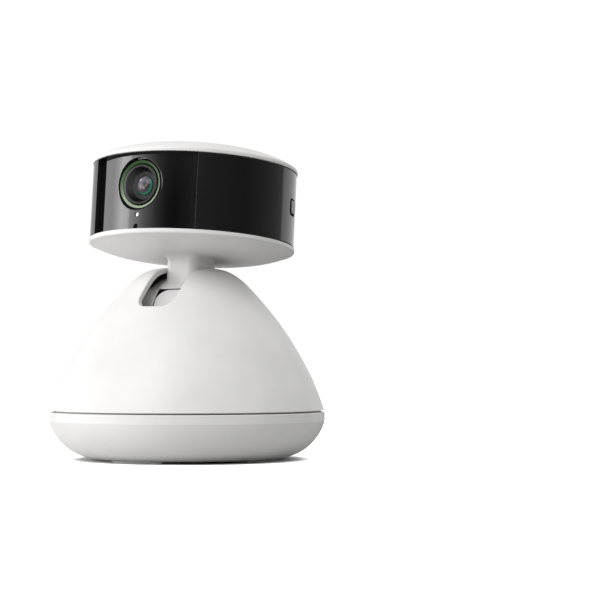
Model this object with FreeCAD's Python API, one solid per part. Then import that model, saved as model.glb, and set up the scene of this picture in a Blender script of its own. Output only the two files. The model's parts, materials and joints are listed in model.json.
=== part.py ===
import FreeCAD
import Part
import math
import os

from FreeCAD import Vector

# Pan and tilt pet camera. Millimetres, +Z up, the front of the camera faces -Y.
# The origin is on the resting surface, at the centre of the base.

# ---------------------------------------------------------------- clearances
FIT = 0.05               # running clearance on the radius
SEAT = 0.02              # clearance of pieces fixed in one another
AIR = 0.3                # smallest gap between curved faces that pass one another
REACH = 5.0              # how far a cutting tool runs past what it cuts

# ---------------------------------------------------------------- base dish
BASE_R = 52.7            # radius of the upright band, the widest part
BAND_Z0 = 14.8           # lower edge of the band
BAND_Z1 = 18.2           # rim of the dish
DISH_FLOOR_Z = 0.7       # underside of the dish above the resting surface
DISH_FLANK = 16.2        # width of the curved flank around the flat underside
DISH_WALL = 2.0
BOWL_BULGE = 3.3         # how far the flank stands out from its straight chord
PAD_W = 4.0              # foot pads, four rubber arcs
PAD_EDGE = 1.0           # from the pads to the edge of the flat underside
PAD_SPAN = 36.0          # degrees each
PAD_SINK = 0.6           # depth of the pad's groove in the dish
BALLAST_BORE_R = 13.0
BALLAST_EDGE = 2.5       # from the ballast to the edge of the flat underside
BALLAST_T = 3.2

# ---------------------------------------------------------------- cone
PAN_GAP = 0.45           # seam between dish and cone
CONE_STEP = 0.1          # the cone's foot inside the dish's band
CONE_TOP_Z = 73.2
SHELL_WALL = 1.8
# shape of the cone between foot and top: (share of the foot's radius, share of the height)
CONE_SHAPE = [(0.9525, 0.129), (0.8707, 0.298), (0.7719, 0.468), (0.6521, 0.637), (0.5456, 0.763),
              (0.4677, 0.848), (0.3726, 0.932), (0.2738, 0.982), (0.152, 0.998)]
SLOT_X0 = -3.0           # neck slot in the cone, it lies right of the middle
SLOT_X1 = 11.3
SLOT_FRONT_ANGLE = 74.0  # ends of the slot, degrees from upright about the tilt axis
SLOT_FRONT_REACH = 32.0
SLOT_BACK_Y = 14.6       # end of the slot behind the top
SLOT_FRONT_ROUND = 3.6
SLOT_BACK_ROUND = 2.8
SLOT_SPLIT_Y = -8.0      # where the front cut of the slot hands over to the top cut
BOSS_R = 3.0             # screw bosses that join cone and turntable
BOSS_EDGE = 9.6          # from the cone's foot to the bosses' axes
BOSS_TOP_Z = 45.0

# ---------------------------------------------------------------- pan drive
POST_R = 7.0             # hollow post that the turntable turns on
POST_BORE_R = 4.5
JOURNAL_R = 5.6
POST_SHOULDER_Z = 16.6
POST_TOP_Z = 22.6
WASHER_R = 9.0
WASHER_T = 0.4
BUSH_WALL = 1.0
TABLE_T = 2.5
TABLE_CLEARANCE = 0.5    # rim of the turntable inside the dish wall
HUB_R = 9.0
HUB_H = 4.2
CLIP_T = 0.6
CLIP_R = 7.4
CLIP_GAP = 20.0          # degrees to either side of the clip's mouth
GEAR_MODULE = 0.8
GEAR_TEETH = 50
PINION_TEETH = 12
GEAR_BORE_R = 14.0
GEAR_T = 3.6
GEAR_BACKLASH = 0.16
PINION_T = 3.0
PINION_BORE_R = 1.0
PAN_MOTOR_R = 10.0
PAN_MOTOR_H = 9.7
PAN_SHAFT_R = 1.5
PAN_SHAFT_IN = 2.8       # length of the shaft inside the motor
SHAFT_END_GAP = 0.2
MOTOR_EAR_R = 3.0
MOTOR_EAR_X = 13.0       # screw ears to either side of the motor
MOTOR_EAR_T = 1.2
MOTOR_EAR_H = 5.0        # their seats above the dish's floor
MOTOR_SEAT_R = 2.5

# ---------------------------------------------------------------- power inlet
INLET_W = 9.0            # USB-C receptacle shell
INLET_H = 3.2
INLET_DEPTH = 7.4
INLET_Z = 9.6
INLET_RECESS = 4.1       # mouth of the receptacle inside the widest part of the base
INLET_GAP = 0.25         # receptacle to its hole in the dish
INLET_WALL = 0.35
INLET_BACK_WALL = 0.8
TONGUE_BLADE_W = 6.6
TONGUE_BLADE_T = 0.7
TONGUE_BLADE_SHORT = 0.6
BOARD_T = 1.2
POWER_BOARD_HALF = 15.0
POWER_BOARD_BEHIND = 5.0 # board beyond the receptacle's back
POWER_BOARD_UNDER = 3.4  # board below the receptacle
BOARD_WALL_GAP = 0.3
POWER_POST_R = 2.0
POWER_POST_INSET = 3.0

# ---------------------------------------------------------------- tilt drum
TILT_Z = 48.8            # height of the tilt axis
REST_TILT = 5.2          # degrees that the head leans back at rest
DRUM_R = 16.0
DRUM_HALF = 12.9
DRUM_WALL = 1.6
DRUM_ROUND = 1.2
TILT_MOTOR_R = 12.0
TILT_MOTOR_L = 17.5
TILT_SHAFT_R = 2.5
TILT_SHAFT_IN = 3.4      # length of the shaft inside the motor
SHAFT_HOLE_GAP = 0.9
CRADLE_W = 2.0
CRADLE_INSET = 1.0       # from the motor's far end
PIN_R = 2.0
PIN_BOSS_R = 4.0
PIN_BOSS_L = 3.0
STAND_HALF = 11.5        # square stand below the drum
STAND_WALL = 1.7
STAND_FLANGE = 5.5       # beyond the stand
STAND_FLANGE_T = 2.0

# ---------------------------------------------------------------- neck
DOME_R = 22.0            # ball shaped dust cover that moves with the head
DOME_WALL = 1.5
CHEEK_GAP = 0.5          # drum to the cheeks that hang on the tilt axis
CHEEK_T = 1.6
CHEEK_R = 7.5
DOME_FRONT = 48.9        # degrees from the neck's axis to the dome's front edge
DOME_BACK = 80.0
COVER_STEP = 0.1         # barrel shaped front of the cover, this far inside the dome's surface
COVER_HALF = 12.0
COVER_ROUND = 5.0
COVER_WALL = 1.4
COVER_END = 89.0         # degrees from the neck's axis to the barrel's lower edge
GROOVE_W = 0.45          # groove between dome and barrel
GROOVE_DEPTH = 0.8
NECK_SIDE_GAP = 0.4      # neck to the walls of the slot
NECK_Y0 = -14.2
NECK_Y1 = 1.9
NECK_ROUND = 3.0
NECK_BORE_R = 4.0
NECK_FLANGE = 5.0        # flange beyond the neck, inside the head
NECK_FLANGE_T = 2.0

# ---------------------------------------------------------------- head, heights above the tilt axis
HEAD_R = 39.2            # gloss band
LIP = 0.3                # white cap and lower rim beyond the band
BELLY_Z = 27.5           # lowest point of the underside
BELLY_RISE = 4.2
BELLY_POWER = 4          # squareness of the underside's shoulder
BELLY_EDGE = 1.2         # from the rim to the underside's edge
POCKET_R = 28.0          # inside the underside, around the neck's seat
POCKET_DEPTH = 2.5
RIM_ROUND_H = 0.9
HEAD_FLOOR_Z = 33.0      # inner floor
BAND_LOW_Z = 34.1
BAND_H = 28.0
BAND_GAP = 0.3           # dark seams above and below the band
BAND_WALL = 1.8
CAP_WALL_H = 1.4
CAP_RISE = 6.0           # dome of the cap
CAP_WALL = 2.0
CAP_POWER = 4            # squareness of the dome's shoulder
TONGUE_WALL = 1.3        # tongues of cap and lower shell, inside the band
TONGUE_H = 2.0
TONGUE_CUT = 42.0        # degrees from the front without a tongue
PANEL_RECESS = 2.1       # front window inside the band's surface
PANEL_WALL = 1.5
PANEL_START = -36.9      # degrees from the front
PANEL_END = 34.5
RETURN_ANGLE = 2.2       # degrees of the band's inward returns
LENS_Z = 50.9
LENS_TURN = -0.9         # degrees that the lens faces away from the front
LENS_HOLE_R = 9.9

# ---------------------------------------------------------------- lens, depths behind the window's surface
BEZEL_DEPTH = 1.6
BEZEL_L = 3.1
RING_DEPTH = 1.4         # green ring, a shallow cone
RING_L = 1.7
RING_SLOPE = 0.3
RING_R = 8.9
RING_W = 1.1
BARREL_R = 7.6
BARREL_DEPTH = 1.7
BARREL_L = 21.0
LIP_ROUND = 0.35
BAFFLE_R = 6.6
BAFFLE_BACK_R = 5.1
BAFFLE_L = 2.7
STEP_R = 4.4
STEP_L = 0.4
GLASS_R = 3.7
GLASS_DEPTH = 5.1        # edge of the front element
GLASS_COVER = 0.1
GLASS_CROWN = 1.1
GLASS_T = 1.2
REAR_ELEMENT_DEPTH = 15.7
REAR_ELEMENT_T = 3.0
MOUNT_COVER = 9.0        # length of the barrel inside its mount
MOUNT_WALL = 2.4
MOUNT_BACK = 4.0         # mount beyond the barrel's end
MOUNT_FOOT_HALF = 8.0
MOUNT_FOOT_SHORT = 4.0
SENSOR_HALF = 3.5
SENSOR_T = 1.0
SENSOR_BOARD_HALF = 11.5
IR_BOARD_DEPTH = 8.3
IR_BOARD_EDGE = 1.0      # from the board's corners to the window
IR_BOARD_HALF_Z = 9.0
IR_LED_INSET = 4.1
IR_LED_Z = 5.5
IR_LED_R = 1.6
IR_LED_H = 1.8
LIGHT_Z = 39.8           # status light and microphone below the lens
MIC_Z = 35.15
LIGHT_R = 0.8
LIGHT_SINK = 0.05
LIGHT_PIPE_L = 6.0
MIC_HOLE_R = 0.75
MIC_BOOT_R = 1.3
MIC_BOOT_L = 2.4
MIC_CAN_W = 3.6
MIC_CAN_L = 1.2

# ---------------------------------------------------------------- electronics in the head
MAIN_BOARD_GAP = 1.6     # board inside the tongue
MAIN_BOARD_H = 4.0       # above the head's floor
STANDOFF_R = 2.5
STANDOFF_X = 20.2
STANDOFF_Y = (-12.0, 14.0)
SHIELD_W = 15.0
SHIELD_D = 12.0
SHIELD_H = 2.2
SHIELD_WALL = 0.3
SHIELD_Y = 12.0
ANTENNA_L = 26.0
ANTENNA_W = 7.0
ANTENNA_T = 0.4
HEAD_SCREW_EDGE = 1.0    # screw axes inside the main board's edge
HEAD_SCREW_ANGLES = (150.0, 210.0)
HEAD_SCREW_SKIN = 0.4    # screw heads above the underside's edge
HEAD_BOSS_R = 2.8
BOSS_GAP = 0.4

# ---------------------------------------------------------------- side button
BUTTON_ANGLE = 106.7     # degrees from the front, towards +X
BUTTON_Z = 48.4
BUTTON_W = 7.0
BUTTON_H = 6.2
BUTTON_ROUND = 1.3
BUTTON_FLANGE = 0.8
BUTTON_FLANGE_GAP = 0.6  # flange behind the band's inner face
BUTTON_SINK = 0.1
BUTTON_TRAVEL = 0.6
SWITCH_STOP_GAP = 0.5    # left between flange and switch at full travel
SWITCH_HALF = 3.0
SWITCH_L = 3.8
SWITCH_WELL_FLOOR = 1.0
SWITCH_BOARD_T = 1.0
PLUNGER_R = 1.4
PLUNGER_IN = 0.9
RAIL_T = 1.0
RAIL_TALL = 1.0          # rails above and below the button
RAIL_INSET = 0.5

# ---------------------------------------------------------------- speaker in the rear of the cone
SPEAKER_R = 11.5
SPEAKER_T = 5.0
SPEAKER_FLANGE_T = 1.5
SPEAKER_LEVEL = 1        # point of the cone's shape that its axis passes through
SPEAKER_SLOPE = 27.0     # degrees that its axis points up
SPEAKER_DEPTH = 3.9      # its face below the cone's surface
SPEAKER_LEDGE = 1.0
SPEAKER_CHAMBER = 0.9    # air space in front of it
SPEAKER_COLLAR = 1.2
SPEAKER_COLLAR_L = 4.0
GRILLE_HOLE_R = 0.7
GRILLE_PITCH = 2.6
GRILLE_RINGS = 3

# ---------------------------------------------------------------- screws
SCREW_R = 1.2
SCREW_HEAD_R = 2.2
SCREW_HEAD_H = 1.2
SCREW_RECESS_R = 1.1     # half width of the cross recess
SCREW_SLOT = 0.5
SCREW_END_GAP = 0.2      # hole beyond a screw's end
TABLE_SCREW_IN = 6.0     # length of each screw's thread in the piece that it holds
STAND_SCREW_IN = 2.2
POWER_SCREW_IN = 2.3
NECK_SCREW_IN = 1.6
HEAD_SCREW_IN = 5.0
BOARD_SCREW_IN = 3.4
MOTOR_SCREW_IN = 2.8

# ---------------------------------------------------------------- derived
CONE_R = BASE_R - CONE_STEP
CONE_Z0 = BAND_Z1 + PAN_GAP
DISH_FLOOR_R = BASE_R - DISH_FLANK
DISH_INNER_Z = DISH_FLOOR_Z + DISH_WALL
PAD_R1 = DISH_FLOOR_R - PAD_EDGE
PAD_R0 = PAD_R1 - PAD_W
BALLAST_R = DISH_FLOOR_R - BALLAST_EDGE
BOSS_CIRCLE_R = CONE_R - BOSS_EDGE
TABLE_Z0 = POST_SHOULDER_Z + WASHER_T
TABLE_Z1 = TABLE_Z0 + TABLE_T
TABLE_R = BASE_R - DISH_WALL - TABLE_CLEARANCE
HUB_Z1 = TABLE_Z0 + HUB_H
BUSH_R = JOURNAL_R + FIT + BUSH_WALL
GEAR_PITCH_R = GEAR_MODULE * GEAR_TEETH / 2
PINION_PITCH_R = GEAR_MODULE * PINION_TEETH / 2
PINION_X = -(GEAR_PITCH_R + PINION_PITCH_R)
GEAR_Z0 = TABLE_Z0 - GEAR_T
PAN_MOTOR_TOP_Z = DISH_INNER_Z + PAN_MOTOR_H
MOTOR_EAR_Z = DISH_INNER_Z + MOTOR_EAR_H
INLET_LIP_Y = BASE_R - INLET_RECESS
INLET_BACK_Y = INLET_LIP_Y - INLET_DEPTH
INLET_BOARD_Z = INLET_Z - INLET_H / 2 - BOARD_T
SCREW_HOLE_R = SCREW_R + SEAT
DRUM_INNER = DRUM_HALF - DRUM_WALL
CHEEK_X0 = DRUM_HALF + CHEEK_GAP
CHEEK_X1 = CHEEK_X0 + CHEEK_T
TRUNNION_R = PIN_R + FIT + BUSH_WALL
STAND_FLANGE_R = STAND_HALF + STAND_FLANGE
STAND_SCREW = STAND_HALF + STAND_FLANGE / 2
NECK_X0 = SLOT_X0 + NECK_SIDE_GAP
NECK_X1 = SLOT_X1 - NECK_SIDE_GAP
NECK_X = (NECK_X0 + NECK_X1) / 2
NECK_Y = (NECK_Y0 + NECK_Y1) / 2
COVER_R = DOME_R - COVER_STEP
LIP_R = HEAD_R + LIP
BELLY_EDGE_R = LIP_R - BELLY_EDGE
BELLY_EDGE_Z = BELLY_Z + BELLY_RISE
RIM_Z0 = BELLY_EDGE_Z + RIM_ROUND_H
RIM_Z1 = BAND_LOW_Z - BAND_GAP
BAND_HIGH_Z = BAND_LOW_Z + BAND_H
CAP_Z0 = BAND_HIGH_Z + BAND_GAP
CAP_Z1 = CAP_Z0 + CAP_WALL_H
PANEL_R = HEAD_R - PANEL_RECESS
PANEL_INNER_R = PANEL_R - PANEL_WALL
LEDGE_R = PANEL_INNER_R - AIR
TONGUE_R = LEDGE_R - TONGUE_WALL
BEZEL_FRONT = PANEL_R - BEZEL_DEPTH
BEZEL_BACK = BEZEL_FRONT - BEZEL_L
RING_FRONT = PANEL_R - RING_DEPTH
RING_BACK = RING_FRONT - RING_L
BARREL_FRONT = PANEL_R - BARREL_DEPTH
BARREL_BACK = BARREL_FRONT - BARREL_L
BAFFLE_BACK = BARREL_FRONT - BAFFLE_L
GLASS_EDGE = PANEL_R - GLASS_DEPTH
LENS_BORE_R = GLASS_R + SEAT
REAR_ELEMENT_FRONT = PANEL_R - REAR_ELEMENT_DEPTH
MOUNT_FRONT = BARREL_BACK + MOUNT_COVER
MOUNT_END = BARREL_BACK - MOUNT_BACK
MOUNT_HALF = BARREL_R + MOUNT_WALL
IR_BOARD_FRONT = PANEL_R - IR_BOARD_DEPTH
IR_BOARD_HALF_X = math.sqrt((PANEL_INNER_R - IR_BOARD_EDGE) ** 2 - IR_BOARD_FRONT ** 2)
IR_LED_X = IR_BOARD_HALF_X - IR_LED_INSET
MAIN_BOARD_R = TONGUE_R - MAIN_BOARD_GAP
MAIN_BOARD_Z = HEAD_FLOOR_Z + MAIN_BOARD_H
MAIN_BOARD_TOP = MAIN_BOARD_Z + BOARD_T
HEAD_SCREW_R = MAIN_BOARD_R - HEAD_SCREW_EDGE
HEAD_SCREW_SEAT = BELLY_EDGE_Z + SCREW_HEAD_H + HEAD_SCREW_SKIN
HEAD_SCREW_END = MAIN_BOARD_Z + HEAD_SCREW_IN
BUTTON_FLANGE_R = HEAD_R - BAND_WALL - BUTTON_FLANGE_GAP
BUTTON_BACK_R = BUTTON_FLANGE_R - BUTTON_FLANGE
SWITCH_R1 = BUTTON_BACK_R - BUTTON_TRAVEL - SWITCH_STOP_GAP
SWITCH_R0 = SWITCH_R1 - SWITCH_L
RAIL_Y = BUTTON_W / 2 + BUTTON_FLANGE + AIR
RAIL_H = BUTTON_H / 2 + RAIL_TALL


# ================================================================ helpers
def box(x0, x1, y0, y1, z0, z1):
    return Part.makeBox(x1 - x0, y1 - y0, z1 - z0, Vector(x0, y0, z0))


def rod(radius, start, end):
    """A cylinder from one point to another."""
    a = Vector(*start)
    b = Vector(*end)
    return Part.makeCylinder(radius, (b - a).Length, a, b - a)


def tube(outer, inner, start, end):
    return rod(outer, start, end).cut(rod(inner, start, end))


def ring(outer, inner, z0, z1):
    return tube(outer, inner, (0, 0, z0), (0, 0, z1))


def rounded_rect(x0, x1, y0, y1, radius):
    """A face in the XY plane, a rectangle with round corners."""
    corners = [(x1 - radius, y1 - radius, 0), (x0 + radius, y1 - radius, 90),
               (x0 + radius, y0 + radius, 180), (x1 - radius, y0 + radius, 270)]
    edges = []
    ends = []
    for cx, cy, angle in corners:
        circle = Part.Circle(Vector(cx, cy, 0), Vector(0, 0, 1), radius)
        arc = Part.Arc(circle, math.radians(angle), math.radians(angle + 90))
        edges.append(arc.toShape())
        ends.append((arc.StartPoint, arc.EndPoint))
    outline = []
    for index, edge in enumerate(edges):
        outline.append(edge)
        end = ends[index][1]
        start = ends[(index + 1) % 4][0]
        outline.append(Part.LineSegment(end, start).toShape())
    return Part.Face(Part.Wire(outline))


def rounded_box(x0, x1, y0, y1, z0, z1, radius):
    """A box whose upright edges are round."""
    face = rounded_rect(x0, x1, y0, y1, radius)
    face.translate(Vector(0, 0, z0))
    return face.extrude(Vector(0, 0, z1 - z0))


def revolve(edges):
    """A solid of revolution about Z from edges in the XZ plane."""
    face = Part.Face(Part.Wire(edges))
    return face.revolve(Vector(0, 0, 0), Vector(0, 0, 1), 360)


def lathe(points):
    """A solid of revolution about Z from straight lines between (radius, height) points."""
    corners = [Vector(r, 0, z) for r, z in points]
    return Part.Face(Part.makePolygon(corners + corners[:1])).revolve(
        Vector(0, 0, 0), Vector(0, 0, 1), 360)


def line(a, b):
    return Part.LineSegment(Vector(a[0], 0, a[1]), Vector(b[0], 0, b[1])).toShape()


def arc(a, middle, b):
    return Part.Arc(Vector(a[0], 0, a[1]), Vector(middle[0], 0, middle[1]),
                    Vector(b[0], 0, b[1])).toShape()


def crown(edge, rise):
    """An arc from an edge point to the axis, part of a circle centred on the axis."""
    radius, height = edge
    sphere = (radius ** 2 + rise ** 2) / (2 * abs(rise))
    lift = abs(rise) - sphere + math.sqrt(sphere ** 2 - (radius / 2) ** 2)
    way = 1 if rise > 0 else -1
    return arc(edge, (radius / 2, height + way * lift), (0, height + rise))


def smooth(points, end_tangent=None):
    """A smooth curve through (radius, height) points."""
    curve = Part.BSplineCurve()
    nodes = [Vector(r, 0, z) for r, z in points]
    if end_tangent is None:
        curve.interpolate(nodes)
    else:
        start = nodes[1] - nodes[0]
        curve.interpolate(Points=nodes, InitialTangent=start,
                          FinalTangent=Vector(end_tangent[0], 0, end_tangent[1]))
    return curve


def offset_points(curve, distance, count):
    """Points beside a curve, to the left of its direction."""
    points = []
    for index in range(count):
        share = index / (count - 1)
        at = curve.FirstParameter + share * (curve.LastParameter - curve.FirstParameter)
        position = curve.value(at)
        tangent = curve.tangent(at)[0]
        points.append((position.x - tangent.z * distance, position.z + tangent.x * distance))
    return points


def wedge(radius, z0, z1, start, end):
    """A sector about Z, its angles measured from the front (-Y) towards +X."""
    sector = Part.makeCylinder(radius, z1 - z0, Vector(0, 0, z0), Vector(0, 0, 1), end - start)
    sector.rotate(Vector(0, 0, 0), Vector(0, 0, 1), start - 90)
    return sector


def around(shape, angle):
    """A copy turned about Z; 0 is the front, positive towards +X."""
    copy = shape.copy()
    copy.rotate(Vector(0, 0, 0), Vector(0, 0, 1), angle)
    return copy


def polar(radius, angle):
    """X and Y of a point at an angle from the front."""
    turn = math.radians(angle)
    return radius * math.sin(turn), -radius * math.cos(turn)


def facing_front(shape):
    """Turn a shape made along +Z so that +Z becomes the lens axis, and lift it to the lens."""
    copy = shape.copy()
    copy.rotate(Vector(0, 0, 0), Vector(1, 0, 0), 90)
    copy.translate(Vector(0, 0, LENS_Z))
    return around(copy, LENS_TURN)


def on_head(shape):
    """From the head's own frame, whose origin is on the tilt axis, to the rest position."""
    copy = shape.copy()
    copy.rotate(Vector(0, 0, 0), Vector(1, 0, 0), -REST_TILT)
    copy.translate(Vector(0, 0, TILT_Z))
    return copy


def screw(length):
    """A pan head screw with its seat at Z 0 and its shaft pointing down."""
    head = Part.makeCylinder(SCREW_HEAD_R, SCREW_HEAD_H)
    shaft = Part.makeCylinder(SCREW_R, length, Vector(0, 0, -length))
    body = head.fuse(shaft)
    depth = SCREW_HEAD_H / 2
    top = SCREW_HEAD_H
    half = SCREW_SLOT / 2
    cross = box(-SCREW_RECESS_R, SCREW_RECESS_R, -half, half, depth, top)
    cross = cross.fuse(box(-half, half, -SCREW_RECESS_R, SCREW_RECESS_R, depth, top))
    return body.cut(cross)


def placed(shape, x, y, z, flipped=False):
    copy = shape.copy()
    if flipped:
        copy.rotate(Vector(0, 0, 0), Vector(1, 0, 0), 180)
    copy.translate(Vector(x, y, z))
    return copy


def pilot(x, y, mouth, depth):
    """A blind hole for a screw's thread, up from its mouth, or down where the depth is negative."""
    way = 1 if depth > 0 else -1
    return rod(SCREW_HOLE_R, (x, y, mouth), (x, y, mouth + depth + way * SCREW_END_GAP))


def fused(shapes):
    whole = shapes[0]
    for other in shapes[1:]:
        whole = whole.fuse(other)
    return whole.removeSplitter()


def gear(teeth, thickness, bore):
    """A spur gear about Z with a tooth centred on +X."""
    pressure = math.radians(20)
    pitch = GEAR_MODULE * teeth / 2
    base = pitch * math.cos(pressure)
    tip = pitch + 0.95 * GEAR_MODULE
    root = pitch - 1.25 * GEAR_MODULE
    start = max(base, root)
    half = math.pi / (2 * teeth) - GEAR_BACKLASH / (2 * pitch)
    steps = 5

    def involute(radius):
        angle = math.acos(min(1.0, base / radius))
        return math.tan(angle) - angle

    flank = []
    for index in range(steps):
        radius = start + (tip - start) * index / (steps - 1)
        flank.append((radius, half + involute(pitch) - involute(radius)))
    if root < start:
        flank.insert(0, (root, flank[0][1]))
    corners = []
    for tooth in range(teeth):
        centre = 2 * math.pi * tooth / teeth
        for radius, turn in flank:
            corners.append(Vector(radius * math.cos(centre - turn), radius * math.sin(centre - turn), 0))
        for radius, turn in reversed(flank):
            corners.append(Vector(radius * math.cos(centre + turn), radius * math.sin(centre + turn), 0))
    face = Part.Face(Part.makePolygon(corners + corners[:1]))
    blank = face.extrude(Vector(0, 0, thickness))
    return blank.cut(Part.makeCylinder(bore, thickness))


# ================================================================ base
def bowl_edges(inset):
    """The bowl's outline at a distance inside its outer face, from the floor to the rim."""
    low = (DISH_FLOOR_R - inset / 2, DISH_FLOOR_Z + inset)
    high = (BASE_R - inset, BAND_Z0)
    middle_r = (DISH_FLOOR_R + BASE_R) / 2
    middle_z = (DISH_FLOOR_Z + BAND_Z0) / 2
    chord = math.hypot(BASE_R - DISH_FLOOR_R, BAND_Z0 - DISH_FLOOR_Z)
    out_r = (BAND_Z0 - DISH_FLOOR_Z) / chord
    out_z = -(BASE_R - DISH_FLOOR_R) / chord
    reach = BOWL_BULGE - inset
    middle = (middle_r + out_r * reach, middle_z + out_z * reach)
    top = (BASE_R - inset, BAND_Z1)
    return [line((0, low[1]), low), arc(low, middle, high), line(high, top),
            line(top, (0, top[1])), line((0, top[1]), (0, low[1]))]


def pad_sector(grow):
    """One foot pad at the front, grown sideways by a clearance."""
    turn = math.degrees(grow / PAD_R0)
    band = ring(PAD_R1 + grow, PAD_R0 - grow, 0, DISH_FLOOR_Z + PAD_SINK)
    half = PAD_SPAN / 2 + turn
    return band.common(wedge(BASE_R, 0, DISH_FLOOR_Z + PAD_SINK, -half, half))


def foot_pads():
    return Part.makeCompound([around(pad_sector(0), 90 * index) for index in range(4)])


def base_dish():
    dish = revolve(bowl_edges(0)).cut(revolve(bowl_edges(DISH_WALL)))
    post = rod(POST_R, (0, 0, DISH_INNER_Z), (0, 0, POST_SHOULDER_Z))
    journal = rod(JOURNAL_R, (0, 0, POST_SHOULDER_Z), (0, 0, POST_TOP_Z))
    parts = [dish, post, journal]
    for side in (-1, 1):
        x, y = power_post(side)
        parts.append(rod(POWER_POST_R, (x, y, DISH_INNER_Z), (x, y, INLET_BOARD_Z)))
        x, y = motor_ear(side)
        parts.append(rod(MOTOR_SEAT_R, (x, y, DISH_INNER_Z), (x, y, MOTOR_EAR_Z)))
    dish = fused(parts)
    dish = dish.cut(rod(POST_BORE_R, (0, 0, DISH_INNER_Z), (0, 0, POST_TOP_Z)))
    groove_z = HUB_Z1 + SEAT
    groove = ring(CLIP_R, JOURNAL_R - CLIP_T, groove_z, groove_z + CLIP_T + SEAT)
    dish = dish.cut(groove)
    for index in range(4):
        dish = dish.cut(around(pad_sector(SEAT), 90 * index))
    mouth = inlet_body(INLET_W + 2 * INLET_GAP, INLET_H + 2 * INLET_GAP, INLET_BACK_Y, BASE_R)
    dish = dish.cut(mouth)
    for side in (-1, 1):
        dish = dish.cut(pilot(*motor_ear(side), MOTOR_EAR_Z, -MOTOR_SCREW_IN))
        dish = dish.cut(pilot(*power_post(side), INLET_BOARD_Z, -POWER_SCREW_IN))
    return dish


def ballast_plate():
    plate = ring(BALLAST_R, BALLAST_BORE_R, DISH_INNER_Z, DISH_INNER_Z + BALLAST_T)
    clear = PAN_MOTOR_R + AIR
    plate = plate.cut(rod(clear, (PINION_X, 0, 0), (PINION_X, 0, BAND_Z1)))
    for side in (-1, 1):
        x, y = motor_ear(side)
        plate = plate.cut(rod(MOTOR_EAR_R, (x, y, 0), (x, y, BAND_Z1)))
    return plate


def motor_ear(side):
    return PINION_X, side * MOTOR_EAR_X


def pan_motor():
    can = rod(PAN_MOTOR_R, (PINION_X, 0, DISH_INNER_Z), (PINION_X, 0, PAN_MOTOR_TOP_Z))
    ears = rounded_box(PINION_X - MOTOR_EAR_R, PINION_X + MOTOR_EAR_R,
                       -MOTOR_EAR_X - MOTOR_EAR_R, MOTOR_EAR_X + MOTOR_EAR_R,
                       MOTOR_EAR_Z, MOTOR_EAR_Z + MOTOR_EAR_T, MOTOR_EAR_R - SEAT)
    motor = can.fuse(ears)
    bore_end = PAN_MOTOR_TOP_Z - PAN_SHAFT_IN - SHAFT_END_GAP
    for side in (-1, 1):
        x, y = motor_ear(side)
        motor = motor.cut(rod(SCREW_HOLE_R, (x, y, 0), (x, y, BAND_Z1)))
    return motor.cut(rod(PAN_SHAFT_R + FIT, (PINION_X, 0, bore_end), (PINION_X, 0, PAN_MOTOR_TOP_Z)))


def motor_screws():
    seat = MOTOR_EAR_Z + MOTOR_EAR_T
    shape = screw(MOTOR_EAR_T + MOTOR_SCREW_IN)
    return Part.makeCompound([placed(shape, *motor_ear(side), seat) for side in (-1, 1)])


def pan_pinion():
    wheel = gear(PINION_TEETH, PINION_T, PINION_BORE_R)
    wheel.rotate(Vector(0, 0, 0), Vector(0, 0, 1), 180.0 / PINION_TEETH)
    low = GEAR_Z0 + (GEAR_T - PINION_T) / 2
    wheel.translate(Vector(PINION_X, 0, low))
    shaft = rod(PAN_SHAFT_R, (PINION_X, 0, PAN_MOTOR_TOP_Z - PAN_SHAFT_IN), (PINION_X, 0, low + PINION_T))
    return fused([wheel, shaft])


def pan_gear():
    wheel = gear(GEAR_TEETH, GEAR_T, GEAR_BORE_R)
    wheel.rotate(Vector(0, 0, 0), Vector(0, 0, 1), 180)
    wheel.translate(Vector(0, 0, GEAR_Z0))
    return wheel


def power_post(side):
    return side * (POWER_BOARD_HALF - POWER_POST_INSET), INLET_BACK_Y - POWER_BOARD_BEHIND + POWER_POST_INSET


def power_board():
    board = box(-POWER_BOARD_HALF, POWER_BOARD_HALF, INLET_BACK_Y - POWER_BOARD_BEHIND,
                INLET_BACK_Y + POWER_BOARD_UNDER, INLET_BOARD_Z, INLET_BOARD_Z + BOARD_T)
    for side in (-1, 1):
        x, y = power_post(side)
        board = board.cut(rod(SCREW_HOLE_R, (x, y, 0), (x, y, BAND_Z1)))
    return board.common(revolve(bowl_edges(DISH_WALL + BOARD_WALL_GAP)))


def power_screws():
    seat = INLET_BOARD_Z + BOARD_T
    shape = screw(BOARD_T + POWER_SCREW_IN)
    return Part.makeCompound([placed(shape, *power_post(side), seat) for side in (-1, 1)])


def inlet_body(width, height, y0, y1):
    """A flat slug with half round sides along Y, at the height of the power inlet."""
    body = rounded_box(-width / 2, width / 2, -height / 2, height / 2, y0, y1, height / 2 - SEAT)
    body.rotate(Vector(0, 0, 0), Vector(1, 0, 0), -90)
    body.translate(Vector(0, 0, INLET_Z))
    return body


def usb_c_inlet():
    shell = inlet_body(INLET_W, INLET_H, INLET_BACK_Y, INLET_LIP_Y)
    cavity = inlet_body(INLET_W - 2 * INLET_WALL, INLET_H - 2 * INLET_WALL,
                        INLET_BACK_Y + INLET_BACK_WALL, BASE_R)
    return shell.cut(cavity)


def usb_c_tongue():
    half_w = TONGUE_BLADE_W / 2
    half_t = TONGUE_BLADE_T / 2
    return box(-half_w, half_w, INLET_BACK_Y + INLET_BACK_WALL, INLET_LIP_Y - TONGUE_BLADE_SHORT,
               INLET_Z - half_t, INLET_Z + half_t)


def pan_bush():
    return ring(BUSH_R, JOURNAL_R + FIT, TABLE_Z0, HUB_Z1)


def thrust_washer():
    return ring(WASHER_R, JOURNAL_R + SEAT, POST_SHOULDER_Z, TABLE_Z0)


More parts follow.
